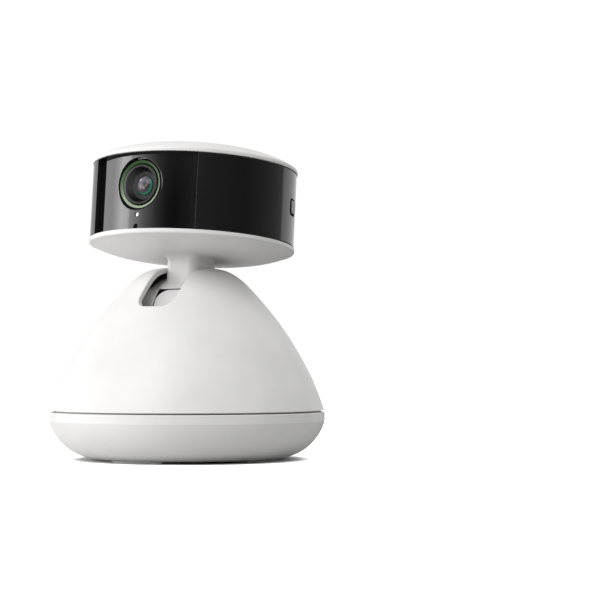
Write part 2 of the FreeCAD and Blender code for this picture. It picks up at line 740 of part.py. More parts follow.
def retaining_clip():
    low = HUB_Z1 + SEAT
    clip = ring(CLIP_R, JOURNAL_R - CLIP_T + SEAT, low, low + CLIP_T)
    return clip.cut(wedge(CLIP_R + REACH, low, low + CLIP_T, -CLIP_GAP, CLIP_GAP))


# ================================================================ pan body
def cone_point(shape):
    """Radius and height of a point of the cone's shape."""
    return shape[0] * CONE_R, CONE_Z0 + shape[1] * (CONE_TOP_Z - CONE_Z0)


def cone_curve():
    points = [(CONE_R, CONE_Z0)] + [cone_point(shape) for shape in CONE_SHAPE] + [(0, CONE_TOP_Z)]
    return smooth(points, end_tangent=(-1, 0))


def cone_solid(inset):
    """The cone as a full solid, its face set in by a distance."""
    curve = cone_curve()
    if inset:
        points = offset_points(curve, inset, 12)
        points[-1] = (0, CONE_TOP_Z - inset)
        curve = smooth(points, end_tangent=(-1, 0))
    first = curve.value(curve.FirstParameter)
    low = CONE_Z0 if not inset else CONE_Z0 - inset
    edges = [curve.toShape(), line((0, curve.value(curve.LastParameter).z), (0, low)),
             line((0, low), (first.x, low))]
    if inset:
        edges.append(line((first.x, low), (first.x, first.z)))
    return revolve(edges)


def slot_front_z():
    return TILT_Z + SLOT_FRONT_REACH * math.cos(math.radians(SLOT_FRONT_ANGLE))


def slot_cutter():
    top = CONE_TOP_Z + REACH
    front = rounded_box(SLOT_X0, SLOT_X1, slot_front_z(), top + SLOT_FRONT_ROUND, -SLOT_SPLIT_Y - REACH,
                        CONE_R, SLOT_FRONT_ROUND)
    front.rotate(Vector(0, 0, 0), Vector(1, 0, 0), 90)
    above = rounded_box(SLOT_X0, SLOT_X1, -CONE_R, SLOT_BACK_Y, TILT_Z, top, SLOT_BACK_ROUND)
    above = above.cut(box(-CONE_R, CONE_R, -CONE_R, SLOT_SPLIT_Y, 0, top))
    return front.fuse(above)


def boss_places():
    return [polar(BOSS_CIRCLE_R, 45 + 90 * index) for index in range(4)]


def speaker_frame(shape):
    """Turn a shape made along +Z so that +Z points out through the rear of the cone."""
    copy = shape.copy()
    copy.rotate(Vector(0, 0, 0), Vector(1, 0, 0), -(90 - SPEAKER_SLOPE))
    surface_r, surface_z = cone_point(CONE_SHAPE[SPEAKER_LEVEL])
    slope = math.radians(SPEAKER_SLOPE)
    copy.translate(Vector(0, surface_r - SPEAKER_DEPTH * math.cos(slope),
                          surface_z - SPEAKER_DEPTH * math.sin(slope)))
    return copy


def grille_places():
    places = [(0.0, 0.0)]
    for number in range(1, GRILLE_RINGS + 1):
        count = 6 * number
        for index in range(count):
            turn = 2 * math.pi * index / count
            places.append((number * GRILLE_PITCH * math.cos(turn), number * GRILLE_PITCH * math.sin(turn)))
    return places


def cone_shell():
    outer = cone_solid(0)
    shell = outer.cut(cone_solid(SHELL_WALL))
    parts = [shell]
    for x, y in boss_places():
        boss = rod(BOSS_R, (x, y, TABLE_Z1), (x, y, BOSS_TOP_Z))
        parts.append(boss.common(outer))
    through = SPEAKER_R + SPEAKER_DEPTH
    collar = Part.makeCylinder(SPEAKER_R + SEAT + SPEAKER_COLLAR, SPEAKER_COLLAR_L + through,
                               Vector(0, 0, -SPEAKER_COLLAR_L))
    parts.append(speaker_frame(collar).common(outer))
    shell = fused(parts)
    pocket = Part.makeCylinder(SPEAKER_R + SEAT, through, Vector(0, 0, -through))
    chamber = Part.makeCylinder(SPEAKER_R - SPEAKER_LEDGE, SPEAKER_CHAMBER)
    shell = shell.cut(speaker_frame(pocket)).cut(speaker_frame(chamber))
    for x, y in grille_places():
        hole = Part.makeCylinder(GRILLE_HOLE_R, through, Vector(x, y, 0))
        shell = shell.cut(speaker_frame(hole))
    for x, y in boss_places():
        shell = shell.cut(pilot(x, y, TABLE_Z1, TABLE_SCREW_IN))
    return shell.cut(slot_cutter())


def turntable():
    disc = rod(TABLE_R, (0, 0, TABLE_Z0), (0, 0, TABLE_Z1))
    hub = rod(HUB_R, (0, 0, TABLE_Z0), (0, 0, HUB_Z1))
    table = disc.fuse(hub).removeSplitter()
    table = table.cut(rod(BUSH_R + SEAT, (0, 0, TABLE_Z0), (0, 0, HUB_Z1)))
    for x, y in boss_places():
        table = table.cut(rod(SCREW_HOLE_R, (x, y, TABLE_Z0), (x, y, TABLE_Z1)))
        table = table.cut(rod(SCREW_HEAD_R + AIR, (x, y, TABLE_Z0), (x, y, TABLE_Z0 + SCREW_HEAD_H + SEAT)))
    for x, y in stand_screw_places():
        table = table.cut(rod(SCREW_HOLE_R, (x, y, TABLE_Z0), (x, y, TABLE_Z1)))
    return table


def turntable_screws():
    seat = TABLE_Z0 + SCREW_HEAD_H + SEAT
    shape = screw(TABLE_Z1 - seat + TABLE_SCREW_IN)
    return Part.makeCompound([placed(shape, x, y, seat, flipped=True) for x, y in boss_places()])


def stand_screw_places():
    return [(sx * STAND_SCREW, sy * STAND_SCREW) for sx in (-1, 1) for sy in (-1, 1)]


def drum_cylinder(radius):
    return rod(radius, (-DRUM_HALF, 0, TILT_Z), (DRUM_HALF, 0, TILT_Z))


def tilt_stand():
    flange = box(-STAND_FLANGE_R, STAND_FLANGE_R, -STAND_FLANGE_R, STAND_FLANGE_R,
                 TABLE_Z1, TABLE_Z1 + STAND_FLANGE_T)
    column = box(-STAND_HALF, STAND_HALF, -STAND_HALF, STAND_HALF, TABLE_Z1,
                 TILT_Z - math.sqrt(DRUM_R ** 2 - STAND_HALF ** 2))
    inner = STAND_HALF - STAND_WALL
    stand = flange.fuse(column).removeSplitter()
    stand = stand.cut(box(-inner, inner, -inner, inner, TABLE_Z1, TILT_Z))
    stand = stand.cut(drum_cylinder(DRUM_R + SEAT))
    for x, y in stand_screw_places():
        stand = stand.cut(rod(SCREW_HOLE_R, (x, y, TABLE_Z1), (x, y, TABLE_Z1 + STAND_FLANGE_T)))
    return stand


def stand_screws():
    seat = TABLE_Z1 + STAND_FLANGE_T
    shape = screw(STAND_FLANGE_T + STAND_SCREW_IN)
    return Part.makeCompound([placed(shape, x, y, seat) for x, y in stand_screw_places()])


def barrel(radius, half, corner):
    """A drum about the Z axis with rounded ends."""
    tilt = math.radians(45)
    middle_x = half - corner + corner * math.sin(tilt)
    middle_r = radius - corner + corner * math.cos(tilt)
    return revolve([line((0, -half), (radius - corner, -half)),
                    arc((radius - corner, -half), (middle_r, -middle_x), (radius, -half + corner)),
                    line((radius, -half + corner), (radius, half - corner)),
                    arc((radius, half - corner), (middle_r, middle_x), (radius - corner, half)),
                    line((radius - corner, half), (0, half)),
                    line((0, half), (0, -half))])


def drum_shell():
    drum = barrel(DRUM_R, DRUM_HALF, DRUM_ROUND)
    drum = drum.cut(rod(DRUM_R - DRUM_WALL, (0, 0, -DRUM_INNER), (0, 0, DRUM_INNER)))
    drum = drum.fuse(rod(PIN_BOSS_R, (0, 0, DRUM_INNER - PIN_BOSS_L), (0, 0, DRUM_INNER)))
    drum = drum.cut(rod(PIN_R + SEAT, (0, 0, DRUM_INNER - PIN_BOSS_L), (0, 0, DRUM_HALF)))
    drum = drum.cut(rod(TILT_SHAFT_R + SHAFT_HOLE_GAP, (0, 0, -DRUM_HALF), (0, 0, -DRUM_INNER)))
    drum.rotate(Vector(0, 0, 0), Vector(0, 1, 0), 90)
    drum.translate(Vector(0, 0, TILT_Z))
    return drum


def drum_half(front):
    reach = DRUM_R + REACH
    low, high = (-reach, 0) if front else (0, reach)
    return drum_shell().common(box(-reach, reach, low, high, TILT_Z - reach, TILT_Z + reach))


def tilt_motor():
    can = rod(TILT_MOTOR_R, (-DRUM_INNER, 0, TILT_Z), (-DRUM_INNER + TILT_MOTOR_L, 0, TILT_Z))
    bore_end = -DRUM_INNER + TILT_SHAFT_IN + SHAFT_END_GAP
    return can.cut(rod(TILT_SHAFT_R + FIT, (-DRUM_INNER, 0, TILT_Z), (bore_end, 0, TILT_Z)))


def motor_cradle():
    """Ring that centres the tilt motor in the drum."""
    x1 = -DRUM_INNER + TILT_MOTOR_L - CRADLE_INSET
    return tube(DRUM_R - DRUM_WALL - SEAT, TILT_MOTOR_R + SEAT, (x1 - CRADLE_W, 0, TILT_Z), (x1, 0, TILT_Z))


def trunnion_pin():
    return rod(PIN_R, (DRUM_INNER - PIN_BOSS_L, 0, TILT_Z), (CHEEK_X1, 0, TILT_Z))


def speaker():
    """Flange, basket and magnet with a shallow paper cone."""
    flange = Part.makeCylinder(SPEAKER_R, SPEAKER_FLANGE_T, Vector(0, 0, -SPEAKER_FLANGE_T))
    basket = Part.makeCylinder(SPEAKER_R * 0.8, SPEAKER_T - SPEAKER_FLANGE_T, Vector(0, 0, -SPEAKER_T))
    behind = Vector(0, 0, -SPEAKER_T - SPEAKER_FLANGE_T)
    magnet = Part.makeCylinder(SPEAKER_R * 0.55, SPEAKER_FLANGE_T, behind)
    depth = SPEAKER_FLANGE_T / 2
    paper = Part.makeCone(SPEAKER_R * 0.35, SPEAKER_R * 0.8, depth, Vector(0, 0, -depth))
    return speaker_frame(fused([flange, basket, magnet]).cut(paper))


# ================================================================ head: neck
def sector(start, end):
    """A slice about the tilt axis between two angles from the neck's axis, towards the front."""
    low = Vector(0, 0, -DOME_R)
    piece = Part.makeCylinder(DOME_R + REACH, 2 * DOME_R, low, Vector(0, 0, 1), end - start)
    piece.rotate(Vector(0, 0, 0), Vector(0, 1, 0), 90)
    piece.rotate(Vector(0, 0, 0), Vector(1, 0, 0), 180 + start)
    return piece


def cover_front():
    """Barrel shaped front of the dust cover, parted from the dome above it by a groove."""
    outer = barrel(COVER_R, COVER_HALF, COVER_ROUND)
    hollow = barrel(COVER_R - COVER_WALL, COVER_HALF - COVER_WALL, COVER_ROUND - COVER_WALL)
    shell = outer.cut(hollow).cut(rod(DRUM_R + CHEEK_GAP, (0, 0, -COVER_HALF), (0, 0, COVER_HALF)))
    shell.rotate(Vector(0, 0, 0), Vector(0, 1, 0), 90)
    groove = sector(DOME_FRONT, DOME_FRONT + math.degrees(GROOVE_W / COVER_R))
    groove = groove.cut(rod(COVER_R - GROOVE_DEPTH, (-DOME_R, 0, 0), (DOME_R, 0, 0)))
    return shell.common(sector(DOME_FRONT, COVER_END)).cut(groove)


def neck():
    """Column, dust cover and cheeks as one moulding, in the head's frame."""
    slab = box(-CHEEK_X1, CHEEK_X1, -DOME_R, DOME_R, -DOME_R, DOME_R)
    cover = Part.makeSphere(DOME_R).common(slab)
    cavity = Part.makeSphere(DOME_R - DOME_WALL).common(
        box(-CHEEK_X0, CHEEK_X0, -DOME_R, DOME_R, -DOME_R, DOME_R))
    cover = cover.cut(cavity)
    sweep = sector(-DOME_BACK, DOME_FRONT)
    hub = rod(CHEEK_R, (-DOME_R, 0, 0), (DOME_R, 0, 0))
    cover = cover.common(sweep.fuse(hub))
    column = rounded_box(NECK_X0, NECK_X1, NECK_Y0, NECK_Y1, 0, HEAD_FLOOR_Z, NECK_ROUND)
    column = column.cut(Part.makeSphere(DOME_R - DOME_WALL))
    plate = rounded_box(NECK_X0 - NECK_FLANGE, NECK_X1 + NECK_FLANGE, NECK_Y0 - NECK_FLANGE,
                        NECK_Y1 + NECK_FLANGE, HEAD_FLOOR_Z, HEAD_FLOOR_Z + NECK_FLANGE_T, NECK_ROUND)
    whole = fused([cover, cover_front(), column, plate])
    whole = whole.cut(rod(NECK_BORE_R, (NECK_X, NECK_Y, 0), (NECK_X, NECK_Y, MAIN_BOARD_Z)))
    whole = whole.cut(rod(TILT_SHAFT_R + SEAT, (-DOME_R, 0, 0), (0, 0, 0)))
    whole = whole.cut(rod(TRUNNION_R + SEAT, (0, 0, 0), (DOME_R, 0, 0)))
    for x, y in neck_screw_places():
        whole = whole.cut(rod(SCREW_HOLE_R, (x, y, HEAD_FLOOR_Z), (x, y, MAIN_BOARD_Z)))
    return whole


def neck_screw_places():
    inset = NECK_FLANGE / 2
    return [(x, y) for x in (NECK_X0 - inset, NECK_X1 + inset) for y in (NECK_Y0 - inset, NECK_Y1 + inset)]


def neck_screws():
    seat = HEAD_FLOOR_Z + NECK_FLANGE_T
    shape = screw(NECK_FLANGE_T + NECK_SCREW_IN)
    return Part.makeCompound([placed(shape, x, y, seat) for x, y in neck_screw_places()])


def tilt_shaft():
    return rod(TILT_SHAFT_R, (-CHEEK_X1, 0, 0), (-DRUM_INNER + TILT_SHAFT_IN, 0, 0))


def trunnion_bush():
    return tube(TRUNNION_R, PIN_R + FIT, (CHEEK_X0, 0, 0), (CHEEK_X1, 0, 0))


# ================================================================ head: housing
def tongue(z0, z1):
    whole = ring(LEDGE_R, TONGUE_R, z0, z1)
    return whole.cut(wedge(HEAD_R, z0, z1, -TONGUE_CUT, TONGUE_CUT))


def standoffs():
    return [(side * STANDOFF_X, y) for side in (-1, 1) for y in STANDOFF_Y]


def head_screw_places():
    return [polar(HEAD_SCREW_R, angle) for angle in HEAD_SCREW_ANGLES]


def belly_point(radius):
    return radius, BELLY_EDGE_Z - BELLY_RISE * (1 - (radius / BELLY_EDGE_R) ** BELLY_POWER)


def head_bottom():
    corner_r = BELLY_EDGE_R + 0.7 * BELLY_EDGE
    corner_z = RIM_Z0 - 0.7 * RIM_ROUND_H
    flat = TONGUE_R
    shares = (1.0, 0.94, 0.86, 0.75, 0.6, 0.4, 0.2, 0.0)
    belly = smooth([belly_point(BELLY_EDGE_R * share) for share in shares], end_tangent=(-1, 0))
    edges = [belly.toShape(),
             arc((BELLY_EDGE_R, BELLY_EDGE_Z), (corner_r, corner_z), (LIP_R, RIM_Z0)),
             line((LIP_R, RIM_Z0), (LIP_R, RIM_Z1)),
             line((LIP_R, RIM_Z1), (flat, RIM_Z1)),
             line((flat, RIM_Z1), (flat, HEAD_FLOOR_Z)),
             line((flat, HEAD_FLOOR_Z), (0, HEAD_FLOOR_Z)),
             line((0, HEAD_FLOOR_Z), (0, BELLY_Z))]
    pocket_z = HEAD_FLOOR_Z - POCKET_DEPTH
    pocket = rod(POCKET_R, (0, 0, pocket_z), (0, 0, HEAD_FLOOR_Z))
    pocket = pocket.cut(rounded_box(NECK_X0 - NECK_FLANGE, NECK_X1 + NECK_FLANGE, NECK_Y0 - NECK_FLANGE,
                                    NECK_Y1 + NECK_FLANGE, pocket_z, HEAD_FLOOR_Z, NECK_ROUND))
    parts = [revolve(edges).cut(pocket), tongue(RIM_Z1, RIM_Z1 + TONGUE_H)]
    for x, y in standoffs():
        parts.append(rod(STANDOFF_R, (x, y, pocket_z), (x, y, MAIN_BOARD_Z)))
    for x, y in head_screw_places():
        parts.append(rod(HEAD_BOSS_R, (x, y, pocket_z), (x, y, MAIN_BOARD_Z)))
    shell = fused(parts)
    shell = shell.cut(rounded_box(NECK_X0 - SEAT, NECK_X1 + SEAT, NECK_Y0 - SEAT, NECK_Y1 + SEAT,
                                  0, HEAD_FLOOR_Z, NECK_ROUND + SEAT))
    for x, y in neck_screw_places():
        shell = shell.cut(pilot(x, y, HEAD_FLOOR_Z, -NECK_SCREW_IN))
    for x, y in standoffs():
        shell = shell.cut(pilot(x, y, MAIN_BOARD_Z, -BOARD_SCREW_IN))
    for x, y in head_screw_places():
        shell = shell.cut(rod(SCREW_HOLE_R, (x, y, 0), (x, y, MAIN_BOARD_Z)))
        shell = shell.cut(rod(SCREW_HEAD_R + AIR, (x, y, 0), (x, y, HEAD_SCREW_SEAT)))
    return shell


def head_screws():
    shape = screw(HEAD_SCREW_END - HEAD_SCREW_SEAT)
    return Part.makeCompound([placed(shape, x, y, HEAD_SCREW_SEAT, flipped=True)
                              for x, y in head_screw_places()])


def cap_point(radius, inset):
    height = CAP_Z1 + CAP_RISE * (1 - (radius / LIP_R) ** CAP_POWER)
    return radius, height - inset


def top_cap():
    shares = (1.0, 0.94, 0.86, 0.75, 0.6, 0.4, 0.2, 0.0)
    outer = smooth([cap_point(LIP_R * share, 0) for share in shares], end_tangent=(-1, 0))
    inner_r = TONGUE_R
    inner = smooth([cap_point(inner_r * share, CAP_WALL) for share in shares], end_tangent=(-1, 0))
    top = cap_point(0, 0)
    under = cap_point(0, CAP_WALL)
    edge = cap_point(inner_r, CAP_WALL)
    start = cap_point(LIP_R, 0)
    shell = revolve([outer.toShape(), line(top, under), inner.toShape(), line(edge, (inner_r, CAP_Z0)),
                     line((inner_r, CAP_Z0), (LIP_R, CAP_Z0)), line((LIP_R, CAP_Z0), start)])
    parts = [shell, tongue(CAP_Z0 - TONGUE_H, CAP_Z0)]
    solid = revolve([outer.toShape(), line(top, (0, MAIN_BOARD_Z)),
                     line((0, MAIN_BOARD_Z), (LIP_R, MAIN_BOARD_Z)), line((LIP_R, MAIN_BOARD_Z), start)])
    for x, y in head_screw_places():
        boss = rod(HEAD_BOSS_R, (x, y, MAIN_BOARD_Z), (x, y, CAP_Z1 + CAP_RISE))
        parts.append(boss.common(solid))
    cap = fused(parts)
    for x, y in head_screw_places():
        cap = cap.cut(pilot(x, y, MAIN_BOARD_Z, HEAD_SCREW_IN))
    return cap


def button_frame(shape):
    """Turn a shape made along +X so that +X is the button's direction."""
    return around(shape, BUTTON_ANGLE - 90)


def button_prism(grow, r0, r1):
    face = rounded_box(-BUTTON_W / 2 - grow, BUTTON_W / 2 + grow, -BUTTON_H / 2 - grow,
                       BUTTON_H / 2 + grow, r0, r1, BUTTON_ROUND + grow)
    face.rotate(Vector(0, 0, 0), Vector(0, 0, 1), 90)
    face.rotate(Vector(0, 0, 0), Vector(0, 1, 0), 90)
    face.translate(Vector(0, 0, BUTTON_Z))
    return face


def side_band():
    whole = ring(HEAD_R, HEAD_R - BAND_WALL, BAND_LOW_Z, BAND_HIGH_Z)
    whole = whole.cut(wedge(HEAD_R + REACH, BAND_LOW_Z, BAND_HIGH_Z, PANEL_START, PANEL_END))
    deep = ring(HEAD_R, PANEL_INNER_R, BAND_LOW_Z, BAND_HIGH_Z)
    parts = [whole]
    for start in (PANEL_END, PANEL_START - RETURN_ANGLE):
        parts.append(deep.common(wedge(HEAD_R + REACH, BAND_LOW_Z, BAND_HIGH_Z, start, start + RETURN_ANGLE)))
    skin = Part.makeCylinder(HEAD_R - RAIL_INSET, CAP_Z1)
    for side in (-1, 1):
        edge = sorted((side * RAIL_Y, side * (RAIL_Y + RAIL_T)))
        rail = box(SWITCH_R0, HEAD_R, edge[0], edge[1], BUTTON_Z - RAIL_H, BUTTON_Z + RAIL_H)
        parts.append(button_frame(rail.common(skin)))
    band = fused(parts)
    return band.cut(button_frame(button_prism(AIR, BUTTON_FLANGE_R, HEAD_R + REACH)))


def along_small_hole(radius, z, r0, r1):
    x, y = polar(1, LENS_TURN)
    return rod(radius, (x * r0, y * r0, z), (x * r1, y * r1, z))


def front_panel():
    sheet = ring(PANEL_R, PANEL_INNER_R, BAND_LOW_Z, BAND_HIGH_Z)
    sheet = sheet.common(wedge(PANEL_R + REACH, BAND_LOW_Z, BAND_HIGH_Z, PANEL_START, PANEL_END))
    sheet = sheet.cut(facing_front(Part.makeCylinder(LENS_HOLE_R, PANEL_R + REACH)))
    sheet = sheet.cut(along_small_hole(LIGHT_R + SEAT, LIGHT_Z, 0, PANEL_R + REACH))
    return sheet.cut(along_small_hole(MIC_HOLE_R, MIC_Z, 0, PANEL_R + REACH))


# ================================================================ head: lens
def lens_bezel():
    inner = BARREL_R + SEAT
    profile = [(LENS_HOLE_R - SEAT, BEZEL_FRONT), (LENS_HOLE_R - SEAT, BEZEL_BACK), (inner, BEZEL_BACK),
               (inner, RING_BACK), (RING_R + SEAT, RING_BACK), (RING_R + SEAT, BEZEL_FRONT)]
    return facing_front(lathe(profile))


def lens_ring():
    bore = RING_R - RING_W
    profile = [(RING_R, RING_FRONT), (RING_R, RING_BACK), (bore, RING_BACK), (bore, RING_FRONT - RING_SLOPE)]
    return facing_front(lathe(profile))


def lens_barrel():
    step = BAFFLE_BACK - STEP_L
    seat = GLASS_EDGE + GLASS_COVER
    profile = [(BARREL_R, BARREL_BACK), (BARREL_R, BARREL_FRONT - LIP_ROUND),
               (BARREL_R - LIP_ROUND, BARREL_FRONT), (BAFFLE_R + LIP_ROUND, BARREL_FRONT),
               (BAFFLE_R, BARREL_FRONT - LIP_ROUND), (BAFFLE_BACK_R, BAFFLE_BACK),
               (BAFFLE_BACK_R, step), (STEP_R, step), (STEP_R, seat), (LENS_BORE_R, seat),
               (LENS_BORE_R, BARREL_BACK)]
    return facing_front(lathe(profile))


def lens_front_glass():
    back = GLASS_EDGE - GLASS_T
    front = crown((GLASS_R, GLASS_EDGE), GLASS_CROWN)
    glass = revolve([front, line((0, GLASS_EDGE + GLASS_CROWN), (0, back)), line((0, back), (GLASS_R, back)),
                     line((GLASS_R, back), (GLASS_R, GLASS_EDGE))])
    return facing_front(glass)


def lens_rear_element():
    back = Vector(0, 0, REAR_ELEMENT_FRONT - REAR_ELEMENT_T)
    return facing_front(Part.makeCylinder(GLASS_R, REAR_ELEMENT_T, back))


def lens_mount():
    block = box(-MOUNT_HALF, MOUNT_HALF, -MOUNT_FRONT, -MOUNT_END, LENS_Z - MOUNT_HALF, LENS_Z + MOUNT_HALF)
    foot = box(-MOUNT_FOOT_HALF, MOUNT_FOOT_HALF, -MOUNT_FRONT + MOUNT_FOOT_SHORT, -MOUNT_END,
               MAIN_BOARD_TOP, LENS_Z - MOUNT_HALF)
    mount = around(block.fuse(foot).removeSplitter(), LENS_TURN)
    bore = facing_front(Part.makeCylinder(BARREL_R + SEAT, MOUNT_FRONT, Vector(0, 0, MOUNT_END)))
    return mount.cut(bore)


def image_sensor():
    chip = box(-SENSOR_HALF, SENSOR_HALF, -MOUNT_END - SENSOR_T, -MOUNT_END,
               LENS_Z - SENSOR_HALF, LENS_Z + SENSOR_HALF)
    return around(chip, LENS_TURN)


def sensor_board():
    half = SENSOR_BOARD_HALF
    board = box(-half, half, -MOUNT_END, -MOUNT_END + BOARD_T, LENS_Z - half, LENS_Z + half)
    return around(board, LENS_TURN)


def ir_board():
    board = box(-IR_BOARD_HALF_X, IR_BOARD_HALF_X, -IR_BOARD_FRONT, -IR_BOARD_FRONT + BOARD_T,
                LENS_Z - IR_BOARD_HALF_Z, LENS_Z + IR_BOARD_HALF_Z)
    board = around(board, LENS_TURN)
    return board.cut(facing_front(Part.makeCylinder(BARREL_R + SEAT, PANEL_R)))


def ir_leds():
    leds = []
    for x in (-IR_LED_X, IR_LED_X):
        for z in (-IR_LED_Z, IR_LED_Z):
            led = rod(IR_LED_R, (x, -IR_BOARD_FRONT, LENS_Z + z), (x, -IR_BOARD_FRONT - IR_LED_H, LENS_Z + z))
            leds.append(around(led, LENS_TURN))
    return Part.makeCompound(leds)


def status_light():
    pipe = along_small_hole(LIGHT_R, LIGHT_Z, PANEL_R - LIGHT_PIPE_L, PANEL_R + REACH)
    return pipe.common(Part.makeCylinder(PANEL_R - LIGHT_SINK, CAP_Z1))


def mic_boot():
    boot = along_small_hole(MIC_BOOT_R, MIC_Z, PANEL_INNER_R - MIC_BOOT_L, PANEL_R)
    boot = boot.common(Part.makeCylinder(PANEL_INNER_R - SEAT, CAP_Z1))
    return boot.cut(along_small_hole(MIC_HOLE_R, MIC_Z, 0, PANEL_R))


def microphone():
    front = PANEL_INNER_R - MIC_BOOT_L
    can = box(-MIC_CAN_W / 2, MIC_CAN_W / 2, -front, -front + MIC_CAN_L, HEAD_FLOOR_Z, MIC_Z + MIC_BOOT_R)
    return around(can, LENS_TURN)


# ================================================================ head: boards
def main_board():
    board = rod(MAIN_BOARD_R, (0, 0, MAIN_BOARD_Z), (0, 0, MAIN_BOARD_TOP))
    board = board.cut(rod(NECK_BORE_R, (NECK_X, NECK_Y, 0), (NECK_X, NECK_Y, CAP_Z1)))
    for x, y in standoffs():
        board = board.cut(rod(SCREW_HOLE_R, (x, y, 0), (x, y, CAP_Z1)))
    for x, y in head_screw_places():
        board = board.cut(rod(HEAD_BOSS_R + BOSS_GAP, (x, y, 0), (x, y, CAP_Z1)))
    return board


def board_screws():
    shape = screw(BOARD_T + BOARD_SCREW_IN)
    return Part.makeCompound([placed(shape, x, y, MAIN_BOARD_TOP) for x, y in standoffs()])


def radio_shield():
    half_w = SHIELD_W / 2
    half_d = SHIELD_D / 2
    top = MAIN_BOARD_TOP + SHIELD_H
    can = box(-half_w, half_w, SHIELD_Y - half_d, SHIELD_Y + half_d, MAIN_BOARD_TOP, top)
    return can.cut(box(-half_w + SHIELD_WALL, half_w - SHIELD_WALL, SHIELD_Y - half_d + SHIELD_WALL,
                       SHIELD_Y + half_d - SHIELD_WALL, MAIN_BOARD_TOP, top - SHIELD_WALL))


def antenna():
    top = cap_point(math.hypot(ANTENNA_L, ANTENNA_W) / 2, CAP_WALL)[1] - SEAT
    return box(-ANTENNA_L / 2, ANTENNA_L / 2, -ANTENNA_W / 2, ANTENNA_W / 2, top - ANTENNA_T, top)


# ================================================================ head: button
def side_button():
    knob = button_prism(0, BUTTON_BACK_R, HEAD_R + REACH)
    knob = knob.common(Part.makeCylinder(HEAD_R - BUTTON_SINK, CAP_Z1))
    flange = button_prism(BUTTON_FLANGE, BUTTON_BACK_R, BUTTON_FLANGE_R)
    return button_frame(fused([knob, flange]))


def switch_plunger():
    return button_frame(rod(PLUNGER_R, (SWITCH_R1 - PLUNGER_IN, 0, BUTTON_Z), (BUTTON_BACK_R, 0, BUTTON_Z)))


def button_switch():
    half = SWITCH_HALF
    body = box(SWITCH_R0, SWITCH_R1, -half, half, BUTTON_Z - half, BUTTON_Z + half)
    well = rod(PLUNGER_R + AIR, (SWITCH_R0 + SWITCH_WELL_FLOOR, 0, BUTTON_Z), (SWITCH_R1, 0, BUTTON_Z))
    return button_frame(body.cut(well))


def button_board():
    half = RAIL_Y + RAIL_T
    board = box(SWITCH_R0 - SWITCH_BOARD_T, SWITCH_R0, -half, half, BUTTON_Z - RAIL_H, BUTTON_Z + RAIL_H)
    return button_frame(board)


# ================================================================ export
BASE_NODES = {
    "base_dish": base_dish,
    "foot_pads": foot_pads,
    "ballast_plate": ballast_plate,
    "pan_motor": pan_motor,
    "motor_screws": motor_screws,
    "power_board": power_board,
    "power_board_screws": power_screws,
    "usb_c_inlet": usb_c_inlet,
    "usb_c_tongue": usb_c_tongue,
    "thrust_washer": thrust_washer,
    "retaining_clip": retaining_clip,
    "pan_pinion": pan_pinion,
}

PAN_NODES = {
    "cone_shell": cone_shell,
    "turntable": turntable,
    "pan_gear": pan_gear,
    "pan_bush": pan_bush,
    "turntable_screws": turntable_screws,
    "tilt_stand": tilt_stand,
    "stand_screws": stand_screws,
    "tilt_drum_front": lambda: drum_half(True),
    "tilt_drum_rear": lambda: drum_half(False),
    "tilt_motor": tilt_motor,
    "motor_cradle": motor_cradle,
    "trunnion_pin": trunnion_pin,
    "speaker": speaker,
}

HEAD_NODES = {
    "neck": neck,
    "neck_screws": neck_screws,
    "tilt_shaft": tilt_shaft,
    "trunnion_bush": trunnion_bush,
    "head_bottom": head_bottom,
    "head_screws": head_screws,
    "top_cap": top_cap,
    "side_band": side_band,
    "front_panel": front_panel,
    "lens_bezel": lens_bezel,
    "lens_ring": lens_ring,
    "lens_barrel": lens_barrel,
    "lens_front_glass": lens_front_glass,
    "lens_rear_element": lens_rear_element,
    "lens_mount": lens_mount,
    "image_sensor": image_sensor,
    "sensor_board": sensor_board,
    "ir_board": ir_board,
    "ir_leds": ir_leds,
    "status_light": status_light,
    "mic_boot": mic_boot,
    "microphone": microphone,
    "main_board": main_board,
    "main_board_screws": board_screws,
    "radio_shield": radio_shield,
    "antenna": antenna,
    "side_button": side_button,
    "switch_plunger": switch_plunger,
    "button_switch": button_switch,
    "button_board": button_board,
}


def export(name, shape):
    shape.exportStep("parts/" + name + ".step")


os.makedirs("parts", exist_ok=True)
for name, make in list(BASE_NODES.items()) + list(PAN_NODES.items()):
    export(name, make())
for name, make in HEAD_NODES.items():
    export(name, on_head(make()))
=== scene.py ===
import json
import math

import bpy
import numpy as np
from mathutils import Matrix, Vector
from mathutils.geometry import delaunay_2d_cdt


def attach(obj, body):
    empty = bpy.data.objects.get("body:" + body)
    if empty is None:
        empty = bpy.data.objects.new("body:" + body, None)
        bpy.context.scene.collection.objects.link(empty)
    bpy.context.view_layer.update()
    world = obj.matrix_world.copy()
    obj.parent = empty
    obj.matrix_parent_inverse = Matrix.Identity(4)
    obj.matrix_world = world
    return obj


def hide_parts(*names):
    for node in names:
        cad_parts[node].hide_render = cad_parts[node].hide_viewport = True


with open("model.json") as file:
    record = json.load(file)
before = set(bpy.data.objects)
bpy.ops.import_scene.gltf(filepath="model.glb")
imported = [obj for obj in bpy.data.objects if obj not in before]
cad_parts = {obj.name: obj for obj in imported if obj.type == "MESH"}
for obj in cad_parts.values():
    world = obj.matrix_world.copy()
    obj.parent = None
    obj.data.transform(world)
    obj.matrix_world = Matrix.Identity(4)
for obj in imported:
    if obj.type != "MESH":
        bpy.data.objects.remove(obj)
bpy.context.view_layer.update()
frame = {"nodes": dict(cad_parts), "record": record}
nodes = frame["nodes"]

MM = 0.001
QUARTER = math.pi / 2

# ------------ sizes, in millimetres as in the solids
REST_TILT = math.radians(5.2)
TILT_Z = 48.8            # height of the tilt axis, where the head's own frame starts
SHELL_WALL = 1.8
HOLE_DEPTH = 2.0         # how far the walls of holes go in
GAP = 0.3
SEAM = 0.5               # dark gap between the window and the band

